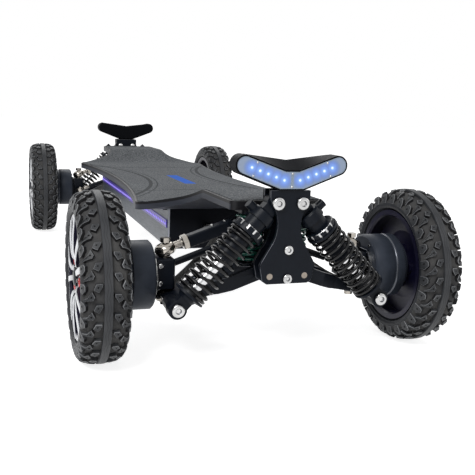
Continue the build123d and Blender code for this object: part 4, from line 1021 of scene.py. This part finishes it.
def make_hood(lamp):
    """The housing between the arms, whose top slopes from the V at the face to a shallow V behind."""
    reach_front, reach_back, half = LAMP_FACE - 0.4, LAMP_BACK + 0.3, LOBE_X - 4.3
    sections = []
    for x in (-half, -45.0, -32.0, -20.0, -LAMP_NOTCH_HALF, 0.0, LAMP_NOTCH_HALF, 20.0, 32.0, 45.0, half):
        low = notch_line(x) - 3.0
        high = HOOD_NOTCH_Z + (LOBE_Z + LOBE_RADIUS - 0.3 - HOOD_NOTCH_Z) * abs(x) / half
        sections.append([
            (x, -reach_front, low), (x, -reach_front, notch_line(x) - 0.1), (x, -reach_back - 3.0, high),
            (x, -reach_back, high - 3.0), (x, -reach_back, low),
        ])
    lamp.rings(sections, "housing", caps=(True, True))


def make_lens(lamp):
    """The lens plate with its rim, middle strip, screws and diodes, in place of the plain one."""
    lamp.prism(band_outline(LENS_EDGE), LAMP_FACE - 1.5, LAMP_FACE + 0.2, "lens")
    low, high = LAMP_BASE_Z + LENS_EDGE + 1.0, LAMP_NOTCH_Z - LENS_EDGE - 1.0
    lamp.prism([(-1.8, low), (1.8, low), (1.8, high), (-1.8, high)], LAMP_FACE - 0.5, LAMP_FACE + 0.4, "border")
    outer, inner = band_outline(LENS_EDGE - 0.2), band_outline(LENS_EDGE + 0.9)
    loops = [[(x, -reach, z) for x, z in outline] for outline, reach in (
        (outer, LAMP_FACE - 1.0), (outer, LAMP_FACE + 0.5), (inner, LAMP_FACE + 0.5), (inner, LAMP_FACE - 0.5))]
    lamp.rings(loops, "border")
    for x, z in LENS_SCREWS:
        for side in (-1, 1):
            screw_head(lamp, side * x, z, 1.3, LAMP_FACE + 0.2)
    for x, z in led_places():
        for side in (-1, 1):
            dome = [(-LAMP_FACE - along, radius) for along, radius in LED_DOME]
            lamp.lathe(dome, (side * x, 0, z), "led", axis="y", segments=20)


def make_lamps():
    for end, signs in ENDS.items():
        trim = Shape()
        make_hood(trim)
        make_lens(trim)
        for x in (-SHOCK_TOP.x, SHOCK_TOP.x):
            nut = [(-TOWER_INSIDE, 5.6), (-TOWER_INSIDE + 3.0, 5.6), (-TOWER_INSIDE + 4.0, 4.4),
                   (-TOWER_INSIDE + 4.4, 0.01)]
            trim.lathe(nut, (x, 0, SHOCK_TOP.z), "steel", axis="y", segments=24)
        lamp = trim.build(f"{end}_lamp_trim", signs)
        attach(lamp, f"{end}_truck")
        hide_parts(f"{end}_lamp_lens")


# Strip lights

def make_strips():
    """Rows of diodes along the strips under the deck's edges."""
    for side, name in ((1, "left"), (-1, "right")):
        shape = Shape()
        for step in range(56):
            y = -335.0 + step * 670.0 / 55
            dome = [(98.6, 2.3), (99.3, 2.1), (99.6, 1.2), (99.7, 0.01)]
            shape.lathe(dome, (0, y, 152.0), "violet", segments=12)
        strip = shape.build(f"{name}_strip_diodes", (side, 1))
        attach(strip, "deck")


# Small parts on the suspension

def make_sockets():
    """Bright ball joint housings at the ends of both links."""
    profile = [(-7.6, 8.6), (-7.0, 10.8), (-4.0, 13.6), (0.0, 14.4), (4.0, 13.6), (7.0, 10.8), (7.6, 8.6),
               (5.0, 9.6), (0.0, 9.8), (-5.0, 9.6)]
    for corner, signs in CORNERS.items():
        for part, z in (("lower_arm", LOWER_BALL_Z), ("upper_link", UPPER_BALL_Z)):
            ring = Shape()
            ring.lathe(profile, (0, 0, 0), "nickel", axis="z", segments=48, closed=True)
            tilt = Matrix.Rotation(LINK_DROOP, 4, "Y")
            ring.points = [tilt @ point + Vector((KINGPIN_X, AXLE_Y, z)) for point in ring.points]
            socket = ring.build(f"{corner}_{part}_socket", signs)
            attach(socket, f"{corner}_{part}")


def along_link(shape, from_x, from_z):
    """Lays a shape drawn along x from the origin onto a link, from its inner pivot down and out."""
    tilt = Matrix.Rotation(LINK_DROOP, 4, "Y")
    shape.points = [tilt @ point + Vector((from_x, AXLE_Y, from_z)) for point in shape.points]


def make_link_fittings():
    """A large nut behind the rod end and two screws on top of the link."""
    for corner, signs in CORNERS.items():
        link = Shape()
        nut = [(0.0, 7.0), (0.0, 9.4), (1.2, 10.4), (7.8, 10.4), (9.0, 9.4), (9.0, 7.0)]
        link.lathe([(along + LINK_NUT, radius) for along, radius in nut], (0, 0, 0), "nickel", segments=6)
        for along in LINK_SCREWS:
            head = [(LINK_TOP, 2.6), (LINK_TOP + 1.4, 2.4), (LINK_TOP + 1.9, 1.6), (LINK_TOP + 1.9, 0.01)]
            link.lathe(head, (along, 0, 0), "steel", axis="z", segments=16)
        along_link(link, PIVOT_X, UPPER_PIVOT_Z)
        fittings = link.build(f"{corner}_link_fittings", signs)
        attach(fittings, f"{corner}_upper_link")


# Stage, light and camera

def background_rays(tree):
    """One where the background is seen, straight on or in metal or glass."""
    rays = tree.nodes.new("ShaderNodeLightPath")
    seen = [rays.outputs[kind] for kind in ("Is Camera Ray", "Is Glossy Ray", "Is Transmission Ray")]
    return value_node(tree, "MAXIMUM", value_node(tree, "MAXIMUM", seen[0], seen[1]), seen[2])


def make_stage():
    floor_mesh = bpy.data.meshes.new("floor")
    work = bmesh.new()
    bmesh.ops.create_grid(work, x_segments=8, y_segments=8, size=12.0)
    work.to_mesh(floor_mesh)
    work.free()
    floor = bpy.data.objects.new("floor", floor_mesh)
    bpy.context.scene.collection.objects.link(floor)
    made = bpy.data.materials.new("studio_floor")
    made.use_nodes = True
    tree = made.node_tree
    shader = tree.nodes["Principled BSDF"]
    shader.inputs["Base Color"].default_value = (0.82, 0.82, 0.82, 1.0)
    shader.inputs["Roughness"].default_value = 0.9
    shader.inputs["Specular IOR Level"].default_value = 0.1
    shader.inputs["Emission Color"].default_value = (1.0, 1.0, 1.0, 1.0)
    share = value_node(tree, "MULTIPLY", background_rays(tree), 0.82)
    tree.links.new(share, shader.inputs["Emission Strength"])
    floor_mesh.materials.append(made)


def make_world():
    world = bpy.data.worlds.new("studio")
    bpy.context.scene.world = world
    world.use_nodes = True
    tree = world.node_tree
    background = tree.nodes["Background"]
    level = tree.nodes.new("ShaderNodeMapRange")
    level.inputs["To Min"].default_value = 0.25
    level.inputs["To Max"].default_value = 1.0
    tree.links.new(background_rays(tree), level.inputs["Value"])
    tree.links.new(level.outputs["Result"], background.inputs["Strength"])
    background.inputs["Color"].default_value = (1.0, 1.0, 1.0, 1.0)


def soft_light(name, place, size, power):
    lamp = bpy.data.lights.new(name, "AREA")
    lamp.shape = "RECTANGLE"
    lamp.size, lamp.size_y = size
    lamp.energy = power
    light = bpy.data.objects.new(name, lamp)
    bpy.context.scene.collection.objects.link(light)
    light.location = place
    aim = Vector((0.0, -0.3, 0.12)) - Vector(place)
    light.rotation_mode = "QUATERNION"
    light.rotation_quaternion = aim.to_track_quat("-Z", "Y")


def make_lights():
    soft_light("key", (-1.6, -2.2, 2.4), (1.6, 1.2), 76.0)
    soft_light("fill", (2.6, -1.2, 1.5), (1.6, 1.6), 9.0)
    soft_light("back", (0.4, 2.6, 2.2), (2.2, 1.2), 26.0)


def make_camera():
    azimuth, elevation, roll = (math.radians(a) for a in (CAMERA_AZIMUTH, CAMERA_ELEVATION, CAMERA_ROLL))
    forward = Vector((math.sin(azimuth) * math.cos(elevation), math.cos(azimuth) * math.cos(elevation),
                      math.sin(elevation)))
    level = Vector((math.cos(azimuth), -math.sin(azimuth), 0.0))
    up = level.cross(forward)
    right = level * math.cos(roll) + up * math.sin(roll)
    above = up * math.cos(roll) - level * math.sin(roll)
    camera_data = bpy.data.cameras.new("camera")
    camera_data.lens = CAMERA_LENS
    camera_data.sensor_width = 36.0
    camera_data.clip_start, camera_data.clip_end = 0.05, 60.0
    camera = bpy.data.objects.new("camera", camera_data)
    bpy.context.scene.collection.objects.link(camera)
    camera.matrix_world = Matrix((
        (right.x, above.x, -forward.x, CAMERA_PLACE[0] * MM),
        (right.y, above.y, -forward.y, CAMERA_PLACE[1] * MM),
        (right.z, above.z, -forward.z, CAMERA_PLACE[2] * MM),
        (0.0, 0.0, 0.0, 1.0),
    ))
    bpy.context.scene.camera = camera


bpy.context.scene.view_settings.view_transform = "Standard"
random.seed(7)
make_camera()
make_world()
make_lights()
make_stage()
paint_frame()
make_tyres()
make_hub_bosses()
make_spoke_faces()
make_shock_springs()
make_lean_springs()
make_cables()
make_lamps()
make_strips()
make_sockets()
make_link_fittings()
